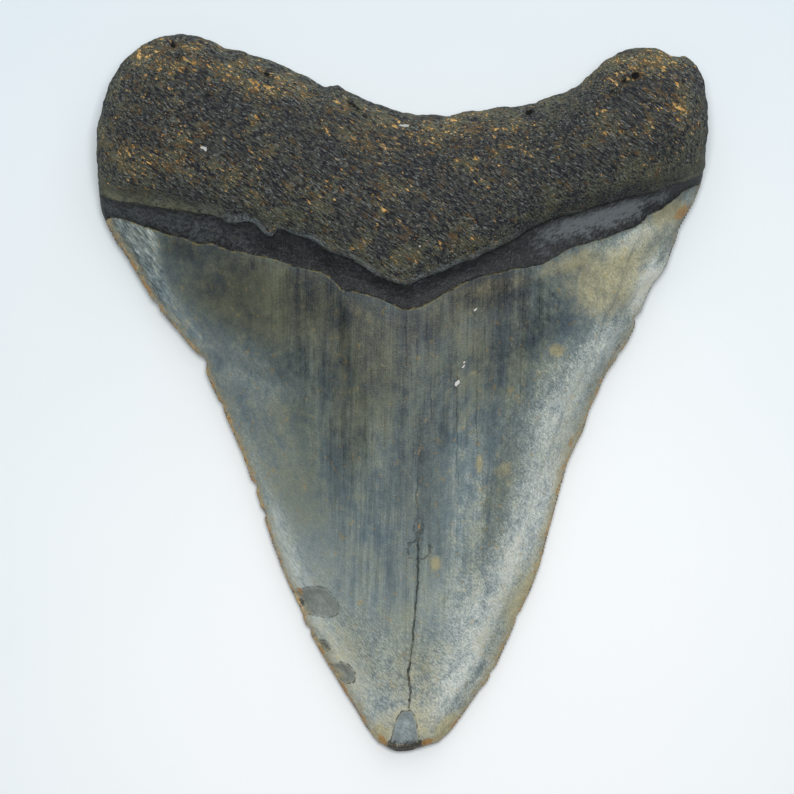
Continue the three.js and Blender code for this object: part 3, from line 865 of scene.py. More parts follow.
    def relief(
        self, points: np.ndarray, lip: np.ndarray, enamel: np.ndarray, convex: np.ndarray
    ) -> np.ndarray:
        """How far the surface stands out or in: porous root, nearly smooth crown.

        Args:
            points: Surface points.
            lip: Distance above the root line.
            enamel: Distance above the enamel line.
            convex: True on the convex face.

        Returns:
            Outward movement in millimetres.
        """
        noise = self.surface.noise
        turned = points @ turn(-35, 0)
        grain = noise.rough(turned * [0.42, 1.0, 1.0], 0.95, 2)
        root = 0.42 * noise.rough(points, 9.0, 2) + 0.3 * noise.rough(points, 2.6, 3) + 0.17 * grain
        pits = sum(spot.weight(points[:, :2]) for spot in self.surface.pits) * convex
        root = (root - 1.1 * pits) * smooth_ramp(lip, 0.0, 1.6)
        crown = 0.10 * noise.rough(points, 13.0, 2) + 0.035 * noise.rough(points, 3.5, 2)
        band = 0.05 * noise.rough(points * [0.4, 1.0, 1.0], 1.3, 3)
        band = band * smooth_ramp(enamel, 0.0, 0.6) * smooth_ramp(lip, 0.2, -0.3)
        return root + band + crown * smooth_ramp(enamel, 0.3, -0.3)

    def paint(
        self, mesh: bpy.types.Mesh, points: np.ndarray, skin: Skin, lip: np.ndarray, enamel: np.ndarray,
        edge: np.ndarray, crack: np.ndarray, crack_strength: np.ndarray, broken: np.ndarray,
        convex: np.ndarray,
    ) -> None:
        """Stores the fields that the finish reads, one number for each surface point.

        Args:
            mesh: Mesh that gets the fields.
            points: Surface points, in millimetres.
            skin: The same points' parameters.
            lip: Distance above the root line.
            enamel: Distance above the enamel line.
            edge: Distance from the smooth outline.
            crack: Distance right of the long crack.
            crack_strength: How open the crack is.
            broken: Depth below the old surface, one row for each chip; the tip's chip is the last.
            convex: True on the convex face.
        """
        plan = points[:, :2]
        x, y = plan.T
        up = convex.astype(float)
        right = smooth_ramp(x, -2, 4)
        left_low = (1 - right) * np.interp(y, [-52, -46, -22, -14], [0, 1, 1, 0]) * bell(edge, 2.4, 1.5)
        right_low = right * np.interp(y, [-58, -50, -30, -24], [0, 1, 0.7, 0])
        left_top = smooth_ramp(x, -41, -36) * smooth_ramp(x, -10, -18)
        edge_stain = bell(edge, 0.5, 1.3) * np.interp(y, [-58, -50, -6, 4], [0.2, 0.9, 1, 0])
        left_stain = np.interp(y, [-26, -18, -2, 6], [1, 1.15, 1.15, 1])
        sheen_border = np.interp(y, *SHEEN_BORDER)
        sheen_reach = (x - sheen_border) / np.interp(y, [8, 18], [3, 1])
        sheen = smooth_ramp(sheen_reach, 0.8, -1.4) * smooth_ramp(y, 2, 14)
        # Lighter enamel along the outline: partly its own paler rim and partly a painted sheen where the
        # slopes face the light.
        edge_tint_and_sheen = bell(edge, 0, 6.5) * np.interp(y, [-60, -30, 5, 20, 34], [0, 1, 0.8, 0.3, 0])
        light = np.interp(y, *LIGHT_BY_HEIGHT) + edge_tint_and_sheen * blend(0.16, 0.26, right)
        # Along the lower right edge, a lighter streak with a darker line inside it: painted highlight and
        # shade of a ridge and groove.
        light += right_low * (0.12 * bell(edge, 4.2, 1.2) - 0.2 * bell(edge, 2.2, 0.8))
        # The band just inside the lower left edge is lightened here and streaked through the sheen field: a
        # painted sheen.
        light += sheen * np.interp(edge, [0.6, 2.5], [0.06, 0.23]) + 0.1 * left_low
        light -= 0.15 * left_top * bell(enamel, -1.2, 1.9)
        light += sum(spot.weight(plan) for spot in LIGHT_SPOTS)
        light -= sum(spot.weight(plan) for spot in SHADE_SPOTS)
        rings = np.min([spot.rim_distance(plan) for spot in CRACK_RINGS], axis=0)
        at_tip = smooth_ramp(y, -57.0, -58.6) * smooth_ramp(np.abs(x - 0.7), 4.6, 2.6)
        fields = {
            "lip_mm": lip,
            "enamel_mm": enamel,
            "edge_mm": edge,
            "side": skin.side,
            "level": skin.level,
            "upward": up,
            "light": np.where(convex, light, 0.5),
            "sheen": np.maximum(sheen, 0.5 * left_low) * up,
            "warm": np.where(convex, spots(plan, WARM_SPOTS) + 0.55 * edge_stain * right, 0.25),
            "olive": np.where(convex, spots(plan, OLIVE_SPOTS), 0.3),
            "steel": spots(plan, STEEL_SPOTS) * up,
            "rust": spots(plan, RUST_SPOTS) * up,
            "ochre": np.where(convex, spots(plan, OCHRE_SPOTS), 0.4),
            "stain": np.where(x > 0, np.interp(y, [9, 14], [0.95, 0.3]), left_stain),
            "grime": bell(edge, 0, 1.7) * at_tip + spots(plan, GRIME_SPOTS) * up,
            "speck": spots(plan, WHITE_SPECKS) * up,
            "pit": spots(plan, self.surface.pits) * up,
            "chip_mm": np.where(convex, broken[:-1].max(axis=0), OFF_CHIP),
            "tip_chip_mm": np.where(convex, broken[-1], OFF_CHIP),
            "crack_mm": crack,
            "crack_strength": crack_strength * up,
            "ring_mm": np.where(convex, rings, OFF_RING),
        }
        for name, values in fields.items():
            stored = mesh.attributes.new(name, "FLOAT", "POINT")
            stored.data.foreach_set("value", values.astype(np.float32))

    def unwrap(self, mesh: bpy.types.Mesh, skin: Skin, points: np.ndarray, lip: np.ndarray) -> None:
        """Lays the two faces side by side in one texture map, steep root sides opened outwards.

        Args:
            mesh: Mesh that gets the map.
            skin: The points' parameters and plan places.
            points: The same points in space, in millimetres.
            lip: Distance above the root line.
        """
        surface = self.surface
        top = surface.thickness - 1.0
        drop = np.clip(top - points[:, 2], 0, 20) * smooth_ramp(lip, 0.0, 6.0)
        from_middle = skin.plan - np.array([0.0, 40.0])
        outward = from_middle / np.maximum(np.linalg.norm(from_middle, axis=1, keepdims=True), 1.0)
        opened = skin.plan + outward * (0.5 * drop * np.abs(skin.side) ** 3)[:, None]
        ends = smooth_ramp(skin.level, 2.3, 3.0) * 0.5 * drop * (1 - np.abs(skin.side) ** 3)
        opened[:, 1] += ends
        upper = (opened + [61.0, 62.0]) * 0.0076
        lower = (skin.plan * [-1, -1] + [52.0, 61.0]) * 0.0028 + [0.69, 0.012]
        loops = np.empty(len(mesh.loops), np.int32)
        mesh.loops.foreach_get("vertex_index", loops)
        convexity = skin.convex[loops].reshape(-1, 3)
        is_lower = np.repeat(convexity.min(axis=1) < ON_FLAT, 3)
        places = np.where(is_lower[:, None], lower[loops], upper[loops])
        layer = mesh.uv_layers.new(name="OFBake")
        layer.uv.foreach_set("vector", places.astype(np.float32).ravel())


def linear(red: int, green: int, blue: int) -> tuple[float, float, float, float]:
    """A colour given as screen values from 0 to 255, as the light values that shaders use."""
    shares = np.array([red, green, blue]) / 255.0
    light = np.where(shares <= 0.04045, shares / 12.92, ((shares + 0.055) / 1.055) ** 2.4)
    return (*(float(part) for part in light), 1.0)


@dataclass(frozen=True)
class Value:
    """A number, place or colour that a shader node gives out, joined by plain arithmetic."""

    board: "NodeBoard"
    socket: bpy.types.NodeSocket

    def __add__(self, other: "Input") -> "Value":
        """Sum of two numbers."""
        return self.board.math("ADD", self, other)

    def __sub__(self, other: "Input") -> "Value":
        """This number less another."""
        return self.board.math("SUBTRACT", self, other)

    def __rsub__(self, other: "Input") -> "Value":
        """Another number less this one."""
        return self.board.math("SUBTRACT", other, self)

    def __mul__(self, other: "Input") -> "Value":
        """Product of two numbers."""
        return self.board.math("MULTIPLY", self, other)

    def __truediv__(self, other: "Input") -> "Value":
        """This number divided by another."""
        return self.board.math("DIVIDE", self, other)

    def __abs__(self) -> "Value":
        """The number without its sign."""
        return self.board.math("ABSOLUTE", self)

    def larger(self, other: "Input") -> "Value":
        """The larger of two numbers."""
        return self.board.math("MAXIMUM", self, other)

    def around(self, strength: float) -> "Value":
        """Noise from 0 to 1 turned into a change around 0."""
        return (self - 0.5) * strength

    def ramp(self, start: float, end: float, low: float = 0.0, high: float = 1.0) -> "Value":
        """Smooth change from low to high as the number goes from start to end."""
        if start > end:
            start, end, low, high = end, start, high, low
        node = self.board.node("MapRange", self, start, end, low, high, interpolation_type="SMOOTHSTEP")
        return Value(self.board, node.outputs["Result"])


Input = Value | float | tuple


@dataclass(frozen=True)
class NodeBoard:
    """Adds shader nodes to one material and joins them."""

    material: bpy.types.Material

    @classmethod
    def named(cls, name: str) -> "NodeBoard":
        """A new material's board."""
        material = bpy.data.materials.new(name)
        material.use_nodes = True
        return cls(material)

    @cached_property
    def shader(self) -> bpy.types.Node:
        """The material's one shader."""
        return self.material.node_tree.nodes["Principled BSDF"]

    @cached_property
    def place(self) -> Value:
        """Place on the object in millimetres."""
        metres = Value(self, self.node("TexCoord").outputs["Object"])
        return self.stretched(metres, (1 / MM, 1 / MM, 1 / MM))

    def feed(self, socket: bpy.types.NodeSocket, value: Input) -> None:
        """Joins a socket to a value or sets its plain number."""
        if isinstance(value, Value):
            self.material.node_tree.links.new(value.socket, socket)
        else:
            socket.default_value = value

    def node(self, kind: str, *inputs: Input, **settings: str) -> bpy.types.Node:
        """A new node of one kind, with its settings made and its first inputs fed in order."""
        node = self.material.node_tree.nodes.new("ShaderNode" + kind)
        for name, setting in settings.items():
            setattr(node, name, setting)
        for socket, value in zip(node.inputs, inputs):
            self.feed(socket, value)
        return node

    def math(self, operation: str, first: Input, second: Input = 0.0) -> Value:
        """One arithmetic step."""
        return Value(self, self.node("Math", first, second, operation=operation).outputs[0])

    def mix(self, share: Input, first: Input, second: Input, kind: str = "MIX") -> Value:
        """Colour mix of the given kind."""
        node = self.node("Mix", share, data_type="RGBA", blend_type=kind)
        self.feed(node.inputs[6], first)
        self.feed(node.inputs[7], second)
        return Value(self, node.outputs[2])

    def number_mix(self, share: Input, first: Input, second: Input) -> Value:
        """Mix of two plain numbers."""
        node = self.node("Mix", share, data_type="FLOAT")
        self.feed(node.inputs[2], first)
        self.feed(node.inputs[3], second)
        return Value(self, node.outputs[0])

    def field(self, name: str) -> Value:
        """One of the numbers stored on the surface."""
        return Value(self, self.node("Attribute", attribute_name=name).outputs["Fac"])

    def stretched(self, place: Value, scale: tuple, turn_z: float = 0.0, shift: tuple = (0, 0, 0)) -> Value:
        """The same place turned about z by so many degrees, scaled along each axis and shifted."""
        if turn_z:
            spin = self.node("VectorRotate", place, rotation_type="Z_AXIS")
            spin.inputs["Angle"].default_value = math.radians(turn_z)
            place = Value(self, spin.outputs[0])
        return Value(self, self.node("Mapping", place, shift, (0, 0, 0), scale).outputs[0])

    def noise(
        self, size: float, detail: float = 3.0, rough: float = 0.55, warp: float = 0.0,
        scale: tuple | None = None, turn_z: float = 0.0, shift: tuple = (0, 0, 0),
    ) -> Value:
        """Soft noise from 0 to 1.

        Args:
            size: Width of the blobs in millimetres.
            detail: Number of finer layers.
            rough: Strength of the finer layers.
            warp: How far the blobs are pulled about.
            scale: Squeeze along each axis; under 1 draws the blobs out.
            turn_z: Turn of those axes about z in degrees.
            shift: Move of the pattern in millimetres.

        Returns:
            The noise as a number.
        """
        place = self.stretched(self.place, scale, turn_z, shift) if scale else self.place
        node = self.node("TexNoise")
        names = ("Vector", "Scale", "Detail", "Roughness", "Distortion")
        for name, value in zip(names, (place, 1 / size, detail, rough, warp)):
            self.feed(node.inputs[name], value)
        return Value(self, node.outputs["Fac"])

    def flecks(self, size: float, share: Input, soft: float, scale: tuple, turn_z: float = 0.0) -> Value:
        """Ragged spots of fine noise; a larger share makes them more and wider."""
        return (self.noise(size, 2.0, 0.6, 0.3, scale, turn_z) + share).ramp(0.7 - soft, 0.7 + soft)

    def tones(self, value: Value, stops: tuple) -> Value:
        """Colour read from a run of (position, colour) stops."""
        node = self.node("ValToRGB", value)
        while len(node.color_ramp.elements) < len(stops):
            node.color_ramp.elements.new(0.5)
        for element, (position, colour) in zip(node.color_ramp.elements, stops):
            element.position, element.color = position, colour
        return Value(self, node.outputs["Color"])


@dataclass(frozen=True)
class FossilColours:
    """Colours of the fossil's zones."""

    enamel: tuple = (
        (0.0, linear(34, 38, 40)), (0.2, linear(69, 76, 75)), (0.4, linear(102, 114, 113)),
        (0.6, linear(144, 156, 154)), (0.8, linear(194, 203, 199)), (1.0, linear(234, 238, 232)),
    )
    root_dark: tuple = linear(27, 30, 37)
    root_brown: tuple = linear(72, 74, 70)
    root_olive: tuple = linear(92, 95, 75)
    root_grey: tuple = linear(128, 133, 132)
    pit: tuple = linear(14, 13, 12)
    ochre_dark: tuple = linear(102, 80, 48)
    ochre: tuple = linear(166, 118, 54)
    ochre_light: tuple = linear(226, 188, 118)
    rust: tuple = linear(158, 116, 60)
    rust_light: tuple = linear(206, 180, 128)
    band_dark: tuple = linear(24, 26, 29)
    band_grey: tuple = linear(94, 101, 105)
    # Colours of the lip's pale edge, which also carry a painted highlight.
    lip_olive_highlight: tuple = linear(126, 128, 105)
    lip_grey_highlight: tuple = linear(136, 145, 149)
    enamel_line: tuple = linear(122, 112, 68)
    olive: tuple = linear(114, 116, 90)
    steel: tuple = linear(90, 108, 118)
    warm: tuple = linear(157, 151, 117)
    fleck: tuple = linear(150, 134, 92)
    fringe: tuple = linear(158, 148, 112)
    chip: tuple = linear(128, 135, 129)
    tip_chip: tuple = linear(142, 156, 162)
    crack: tuple = linear(54, 53, 49)
    speck: tuple = linear(210, 210, 207)


@dataclass(frozen=True)
class FossilFinish:
    """The fossil's one finish: enamel, gum band and porous root told apart by the stored fields."""

    name: str = "fossil_finish"
    colours: FossilColours = FossilColours()

    def crown(self, board: NodeBoard) -> tuple[Value, Value]:
        """Colour and bump height of the enamel."""
        c = self.colours
        cloud = board.noise(6.0, 3.0, 0.55, 0.5)
        patch = board.noise(2.4, 4.0, 0.65, scale=(1.2, 0.75, 1))
        blot = board.noise(1.2, 3.0, 0.6, scale=(1.0, 0.8, 1), turn_z=20)
        fine = board.noise(0.28, 2.0, 0.7)
        broad = board.noise(2.8, 2.0, 0.55, scale=(1.0, 0.07, 0.2), turn_z=1.5)
        fibre = board.noise(0.55, 3.0, 0.65, scale=(1.0, 0.03, 0.2), turn_z=1.5)
        hair = board.noise(0.24, 2.0, 0.6, scale=(1.0, 0.02, 0.2), turn_z=1.5)
        hatch = board.noise(0.3, 2.0, 0.65, 0.5, (0.42, 1.5, 1), 50)
        arcs = board.noise(0.5, 3.0, 0.7, 0.7, (0.24, 1.25, 1), 48)
        sweep = board.noise(1.7, 3.0, 0.6, 1.5, (0.45, 1.2, 1), 30)
        slant = board.noise(0.95, 4.0, 0.7, 0.6, (0.5, 1.3, 1), 50)
        side, level, sheen = board.field("side"), board.field("level"), board.field("sheen")
        middle = abs(side).ramp(0.3, 0.7).ramp(1.0, 0.3) * level.ramp(0.1, 0.45, 0.15, 1.0)
        lively = side.ramp(0.1, 0.5, 0.5, 1.2).larger(level.ramp(0.4, 0.7, 0.5, 1.0))
        lively = lively.larger(level.ramp(0.34, 0.2, 0.5, 1.25))
        clouds = cloud.around(0.3) + patch.around(0.38) + blot.around(0.3) + fine.around(0.42)
        streaks = (fibre.around(0.48) + broad.around(0.4)) * middle
        brushed = (arcs.around(1.7) + sweep.around(0.7)) * sheen
        light = board.field("light") + clouds * lively + streaks
        light = light + slant.around(0.6) * side.ramp(0.15, 0.5) + brushed
        pale = light.ramp(0.42, 0.85, 0.12, 1.0) * lively * (1.0 - sheen * 0.8)
        strokes = hatch.ramp(0.64, 0.36, -0.09, 0.15) * pale
        hairs = hair.ramp(0.42, 0.3, 0.0, 0.13) * middle
        light = light - (strokes + hairs + self.grooves(board))
        colour = board.tones(light * 0.8, c.enamel)
        hue = cloud.around(1.1) + patch.around(1.4) + blot.around(0.7) + broad.around(1.3) * middle
        blue = board.field("steel") - hue
        olive = board.field("olive") + hue
        warm = board.field("warm") + blot.around(0.5) + patch.around(0.8)
        dots = board.flecks(1.1, 0.03, 0.06, (1.0, 0.8, 1))
        shares = (
            (blue.ramp(-0.2, 0.9, 0.0, 0.66), c.steel), (olive.ramp(-0.15, 1.0, 0.0, 0.66), c.olive),
            (warm.ramp(0.1, 1.0, 0.0, 0.8), c.warm), (dots * 0.5, c.fleck),
        )
        strength = light * 1.25 + 0.27
        for share, tint in shares:
            colour = board.mix(share, colour, board.mix(1.0, tint, strength, "MULTIPLY"))
        return colour, fine * 0.08 + hatch * 0.2 * pale + fibre * 0.04 + blot * 0.06

    def grooves(self, board: NodeBoard) -> Value:
        """Darkness of the few fine grooves that run down the middle of the enamel."""
        wander = board.noise(2.4, 2.0, 0.6, scale=(0.3, 1.0, 0.3))
        broken = board.noise(0.9, 3.0, 0.7, scale=(0.6, 1.0, 0.6)).ramp(0.34, 0.6, 0.25, 1.0)
        split = board.node("SeparateXYZ", board.place)
        x, y = Value(board, split.outputs[0]) + wander.around(0.9), Value(board, split.outputs[1])
        lines = []
        for groove in GROOVES:
            line = abs(x - groove.x).ramp(groove.wide * 1.7, groove.wide * 0.4, 0.0, groove.strength * 0.5)
            lines.append(line * abs(y - groove.y).ramp(groove.long, groove.long * 0.6))
        return reduce(Value.larger, lines) * broken

    def root(self, board: NodeBoard) -> tuple[Value, Value]:
        """Colour and bump height of the porous root."""
        c = self.colours
        cloud = board.noise(5.0, 3.0, 0.6)
        grain = board.noise(0.46, 3.0, 0.75, 0.3, (0.34, 1.25, 0.8), 38)
        dashes = board.noise(0.34, 2.0, 0.7, 0.2, (0.36, 1.3, 0.9), 33)
        pores = board.noise(0.36, 2.0, 0.7)
        shore = board.field("edge_mm").ramp(7.0, 0.5)
        ochre = board.field("ochre")
        olive = cloud.around(1.2) + grain.around(1.2) + board.field("lip_mm").ramp(9.0, 0.5, 0.0, 0.18)
        olive = olive + ochre * 0.16 + shore * 0.12 - 0.05
        # Dark where the grain and pore noise sink, in step with the bump: partly the root's dark matrix and
        # partly painted shade in its hollows.
        colour = board.mix(grain.ramp(0.41, 0.6), c.root_dark, c.root_brown)
        colour = board.mix(olive.ramp(0.02, 0.3, 0.0, 0.7), colour, c.root_olive)
        colour = board.mix(dashes.ramp(0.56, 0.67, 0.0, 0.8), colour, c.root_grey)
        colour = board.mix(pores.ramp(0.44, 0.32, 0.0, 0.85), colour, c.root_dark)
        share = ochre * 0.09 + cloud.around(0.3) - 0.032
        dim = board.flecks(1.1, share + 0.06, 0.08, (0.5, 1.0, 0.8), 35)
        bright = board.flecks(0.78, share, 0.05, (0.45, 1.0, 0.8), 41)
        tiny = board.flecks(0.3, share + 0.01, 0.035, (0.5, 1.1, 0.8), 25)
        colour = board.mix(dim * 0.6, colour, c.ochre_dark)
        tone = board.mix(dashes.ramp(0.4, 0.6), c.ochre, c.ochre_light)
        colour = board.mix(bright.larger(tiny * 0.8) * 0.92, colour, tone)
        # Lighter towards the root's outline: painted light that lifts the shading of its sloping rim.
        colour = board.mix(1.0, colour, shore * 0.36 + 1.0, "MULTIPLY")
        # Near-black in the pits: painted shade in their hollows.
        colour = board.mix(board.field("pit").ramp(0.25, 0.6), colour, c.pit)
        return colour, grain * 0.5 + pores * 0.3 + dashes * 0.25

    def band(self, board: NodeBoard) -> tuple[Value, Value]:
        """Colour and bump height of the smooth dark gum band."""
        c = self.colours
        streaks = board.noise(0.8, 3.0, 0.65, 0.2, (0.2, 1.2, 1.0), 13)
        strands = board.noise(0.5, 3.0, 0.7, 0.3, (0.3, 1.3, 1.0), -22)
        fine = board.noise(0.32, 3.0, 0.75, scale=(1.0, 0.45, 1.0), turn_z=25)
        patch = board.noise(1.6, 3.0, 0.6)
        side = board.field("side")
        rough_enamel = board.field("enamel_mm") + fine.around(1.2) + strands.around(2.0) + patch.around(1.4)
        lip_shadow_reach = board.field("lip_mm") + fine.around(0.8) + patch.around(1.2)
        right = side.ramp(0.36, 0.6, 0.0, 1.02) * side.ramp(0.98, 0.88, 0.2, 1.0)
        right = right * rough_enamel.ramp(0.2, 3.6, 0.02, 1.0) * strands.ramp(0.3, 0.66, 0.72, 1.15)
        left = side.ramp(-0.4, -0.7, 0.02, 0.32) * rough_enamel.ramp(0.1, 1.6, 0.3, 1.0)
        # Darker just under the lip: a painted shadow of the root's ledge on the gum band.
        light = (right + left) * streaks.ramp(0.3, 0.6, 0.75, 1.0) * lip_shadow_reach.ramp(-0.1, -1.5, 0.15, 1.0)
        light = light + fine.around(1.3) + strands.around(0.9) + patch.around(0.7) + 0.05
        colour = board.mix(light.ramp(0.0, 1.0), c.band_dark, c.band_grey)
        brown = streaks.ramp(0.5, 0.62) * side.ramp(-0.3, -0.8, 0.15, 0.6)
        return board.mix(brown, colour, c.root_brown), fine * 0.2 + streaks * 0.05

    def build(self) -> bpy.types.Material:
        """Makes the material."""
        c = self.colours
        board = NodeBoard.named(self.name)
        crown_colour, crown_bump = self.crown(board)
        root_colour, root_bump = self.root(board)
        band_colour, band_bump = self.band(board)
        jitter = board.noise(0.55, 3.0, 0.65) - 0.5
        side = board.field("side")
        enamel = board.field("enamel_mm") + jitter * 0.7
        lip = board.field("lip_mm") + jitter * 0.8
        on_band, on_root = enamel.ramp(-0.04, 0.08), lip.ramp(-0.05, 0.2)
        colour = board.mix(on_band, crown_colour, band_colour)
        worn = board.noise(1.4, 3.0, 0.7).ramp(0.44, 0.6, 0.0, 0.8) * side.ramp(0.1, 0.4, 1.0, 0.35)
        colour = board.mix(enamel.ramp(-0.3, -0.06) * enamel.ramp(0.16, 0.04) * worn, colour, c.enamel_line)
        colour = board.mix(on_root, colour, root_colour)
        # Paler grainy line along the root's lip: partly its own layered edge and partly a painted highlight
        # where the lip catches light.
        grainy = board.noise(0.35, 3.0, 0.7, scale=(1.0, 0.5, 1.0), turn_z=-30).ramp(0.35, 0.6)
        reach = side.ramp(-0.4, -0.7, 1.2, 2.6)
        lip_highlight = lip.ramp(-0.05, 0.1) * (lip / reach).ramp(1.0, 0.15) * side.ramp(0.55, 0.2, 0.1, 1.0)
        lip_highlight = lip_highlight * board.noise(2.6, 3.0, 0.6).ramp(0.35, 0.6, 0.25, 1.0)
        lip_highlight = lip_highlight * grainy * board.field("upward")
        colour = board.mix(lip_highlight, colour, board.mix(side.ramp(-0.75, -0.5), c.lip_olive_highlight, c.lip_grey_highlight))
        colour = self.damage(board, colour, jitter, 1.0 - on_band)
        rough = board.number_mix(on_root, board.number_mix(on_band, 0.43, 0.42), 0.86)
        height = board.number_mix(on_root, board.number_mix(on_band, crown_bump, band_bump), root_bump)
        bump = board.node("Bump")
        board.feed(bump.inputs["Strength"], 1.0)
        board.feed(bump.inputs["Distance"], MM)
        board.feed(bump.inputs["Height"], height - self.crack_share(board, 1.3) * 0.3)
        board.feed(board.shader.inputs["Base Color"], colour)
        board.feed(board.shader.inputs["Roughness"], rough + jitter * 0.22)
        board.feed(board.shader.inputs["Normal"], Value(board, bump.outputs[0]))
        board.feed(board.shader.inputs["Specular IOR Level"], 0.28)
        return board.material

    def crack_share(self, board: NodeBoard, width: float) -> Value:
        """How strongly a place lies in the long crack, which widens and narrows along its run."""
        wander = board.noise(0.9, 3.0, 0.65, scale=(0.3, 1.0, 0.3))
        thick = board.noise(1.3, 3.0, 0.7, scale=(0.2, 1.0, 0.2), turn_z=20)
        reach = thick.ramp(0.32, 0.68, 0.05, 0.2) * width
        inside = (abs(board.field("crack_mm") + wander.around(0.6)) / reach).ramp(1.0, 0.4)
        faded = board.noise(0.9, 3.0, 0.65).ramp(0.34, 0.6, 0.5, 1.0)
        inside = inside * faded * board.field("crack_strength")
        # In the colour these soft dark arcs are painted shade round the ring cracks.
        ring = abs(board.field("ring_mm") + board.noise(1.1, 2.0).around(0.9))
        return inside.larger(ring.ramp(0.3, 0.05) * board.noise(0.9, 2.0, 0.6).ramp(0.4, 0.6, 0.05, 0.5))

    def damage(self, board: NodeBoard, colour: Value, jitter: Value, off_band: Value) -> Value:
        """Chips, crack, stained cutting edge, rust and white specks over the zone colours."""
        c = self.colours
        rim = board.field("edge_mm")
        stain_here, rust_here, speck_here = board.field("stain"), board.field("rust"), board.field("speck")
        broken_line = board.noise(1.1, 3.0, 0.6).ramp(0.4, 0.6, 0.2, 0.9)
        grit = board.noise(0.4, 3.0, 0.7, scale=(0.5, 1.2, 1), turn_z=50)
        speckled = (grit + board.noise(1.0, 3.0, 0.65).around(0.9)).ramp(0.3, 0.7, 0.8, 1.2)
        speckled = speckled * rim.ramp(0.2, 4.6, 0.72, 1.1)
        inner = rim.ramp(0.2, 1.0, 0.35, 1.0)
        for name, tone in (("chip_mm", c.chip), ("tip_chip_mm", c.tip_chip)):
            chip = board.field(name) + jitter * 0.4
            facet = board.mix(1.0, tone, speckled, "MULTIPLY")
            colour = board.mix(chip.ramp(-0.1, 0.25, 0.0, 0.85) * inner, colour, facet)
            line = chip.ramp(-0.2, -0.04) * chip.ramp(0.14, -0.02) * broken_line * inner
            colour = board.mix(line, colour, c.crack)
        blotch = board.noise(1.3, 4.0, 0.7)
        patchy = board.noise(1.7, 3.0, 0.65).ramp(0.4, 0.56, 0.15, 1.0)
        edge = rim + jitter * 1.2 + blotch.around(2.6)
        fringe = edge.ramp(1.6, 0.3, 0.0, 0.75) * stain_here * grit.ramp(0.38, 0.6, 0.5, 1.0)
        colour = board.mix(fringe * off_band, colour, c.fringe)
        orange = (board.noise(2.2, 3.0, 0.6) + rust_here * 0.3).ramp(0.5, 0.66)
        stain = board.mix(orange * 0.7, board.mix(grit.ramp(0.4, 0.6), c.rust, c.rust_light), c.ochre)
        colour = board.mix(edge.ramp(0.8, 0.1, 0.0, 0.85) * patchy * stain_here * off_band, colour, stain)
        dirty = rim.ramp(0.45, 0.1) * blotch.ramp(0.5, 0.6, 0.0, 0.85)
        colour = board.mix(dirty * off_band, colour, c.crack)
        grime = board.field("grime") + jitter * 1.4
        colour = board.mix(grime.ramp(0.3, 0.7, 0.0, 0.9), colour, c.crack)
        rusty = rust_here + grit.around(1.6) + blotch.around(0.8)
        colour = board.mix(rusty.ramp(0.4, 0.75, 0.0, 0.9), colour, stain)
        colour = board.mix(self.crack_share(board, 0.9) * 0.82, colour, c.crack)
        speck = speck_here + jitter * 1.2
        shadow = speck.ramp(0.16, 0.34, 0.0, 0.6) * speck_here.ramp(0.02, 0.1)
        colour = board.mix(shadow, colour, c.crack)
        return board.mix(speck.ramp(0.42, 0.62, 0.0, 0.9), colour, c.speck)


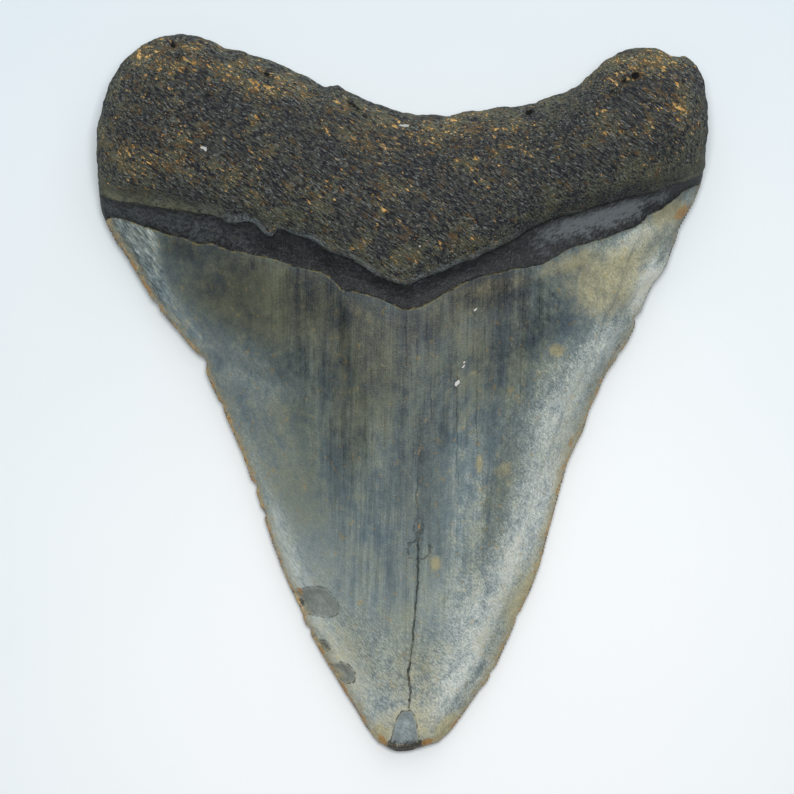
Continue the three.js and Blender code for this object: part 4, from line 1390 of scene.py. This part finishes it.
@dataclass
class Studio:
    """Pale table, soft lights and the camera above the tooth."""

    centre: tuple[float, float] = (-0.84 * MM, -0.56 * MM)
    camera_height: float = 0.75
    frame_width: float = 133.6 * MM
    sensor_width: float = 36.0
    focus_height: float = 6 * MM
    table_half: float = 1.6
    light_pool_shift: tuple[float, float, float] = (-8.0, 48.0, 0.0)

    def floor(self) -> bpy.types.Object:
        """The pale table with a painted pool of light, brightest near one spot."""
        mesh = bpy.data.meshes.new("table_top")
        half = self.table_half
        corners = [(-half, -half, 0), (half, -half, 0), (half, half, 0), (-half, half, 0)]
        mesh.from_pydata(corners, [], [(0, 1, 2, 3)])
        board = NodeBoard.named("table_painted_light_pool")
        # Brighter near one spot and duller farther out, with a noisy uneven edge: a painted pool of light
        # on the table.
        place = board.stretched(board.place, (1, 1, 1), shift=self.light_pool_shift)
        length = Value(board, board.node("VectorMath", place, operation="LENGTH").outputs["Value"])
        cloud = board.noise(60.0, 2.0, scale=(1, 1, 1), shift=self.light_pool_shift)
        uneven = length + cloud.around(30.0)
        colour = board.mix(uneven.ramp(25.0, 150.0), linear(241, 245, 247), linear(217, 228, 234))
        board.feed(board.shader.inputs["Base Color"], colour)
        board.feed(board.shader.inputs["Roughness"], 0.7)
        board.feed(board.shader.inputs["Specular IOR Level"], 0.2)
        mesh.materials.append(board.material)
        table = bpy.data.objects.new("table_top", mesh)
        bpy.context.scene.collection.objects.link(table)
        return table

    def light(self, name: str, place: tuple, size: float, power: float, colour: tuple) -> None:
        """A square soft light aimed at the tooth.

        Args:
            name: Name of the light.
            place: Where it hangs, in metres.
            size: Length of its side in metres.
            power: Strength in watts.
            colour: Its red, green and blue.
        """
        lamp = bpy.data.lights.new(name, "AREA")
        lamp.shape, lamp.size, lamp.energy, lamp.color = "SQUARE", size, power, colour
        holder = bpy.data.objects.new(name, lamp)
        holder.location = place
        holder.rotation_euler = Vector(place).to_track_quat("Z", "Y").to_euler()
        bpy.context.scene.collection.objects.link(holder)

    def build(self) -> None:
        """Sets up table, lights, world and camera."""
        self.floor()
        self.light("key_light", (0.12, 0.72, 0.66), 1.1, 3.9, (1.0, 0.99, 0.98))
        self.light("overhead_light", (0.02, 0.1, 0.95), 0.3, 6.5, (1.0, 0.995, 0.99))
        world = bpy.data.worlds.new("soft_room")
        world.use_nodes = True
        background = world.node_tree.nodes["Background"]
        background.inputs["Color"].default_value = linear(237, 241, 244)
        background.inputs["Strength"].default_value = 0.2
        bpy.context.scene.world = world
        camera = bpy.data.cameras.new("camera")
        camera.sensor_width = self.sensor_width
        camera.lens = self.sensor_width * (self.camera_height - self.focus_height) / self.frame_width
        holder = bpy.data.objects.new("camera", camera)
        holder.location = (*self.centre, self.camera_height)
        bpy.context.scene.collection.objects.link(holder)
        bpy.context.scene.camera = holder
        bpy.context.scene.view_settings.view_transform = "Standard"


def main() -> None:
    """Builds the tooth and the studio around it."""
    logging.basicConfig(level=logging.INFO)
    low, high = (np.array(corner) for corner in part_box("tooth"))
    tooth = Tooth(low, high)
    piece = tooth.build()
    piece.data.materials.append(FossilFinish().build())
    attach(piece, "root")
    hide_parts("tooth")
    LOG.info("%s: %d triangles", piece.name, len(piece.data.polygons))
    Studio().build()
    LOG.info("studio: table, two lights, camera")


if __name__ == "__main__":
    main()
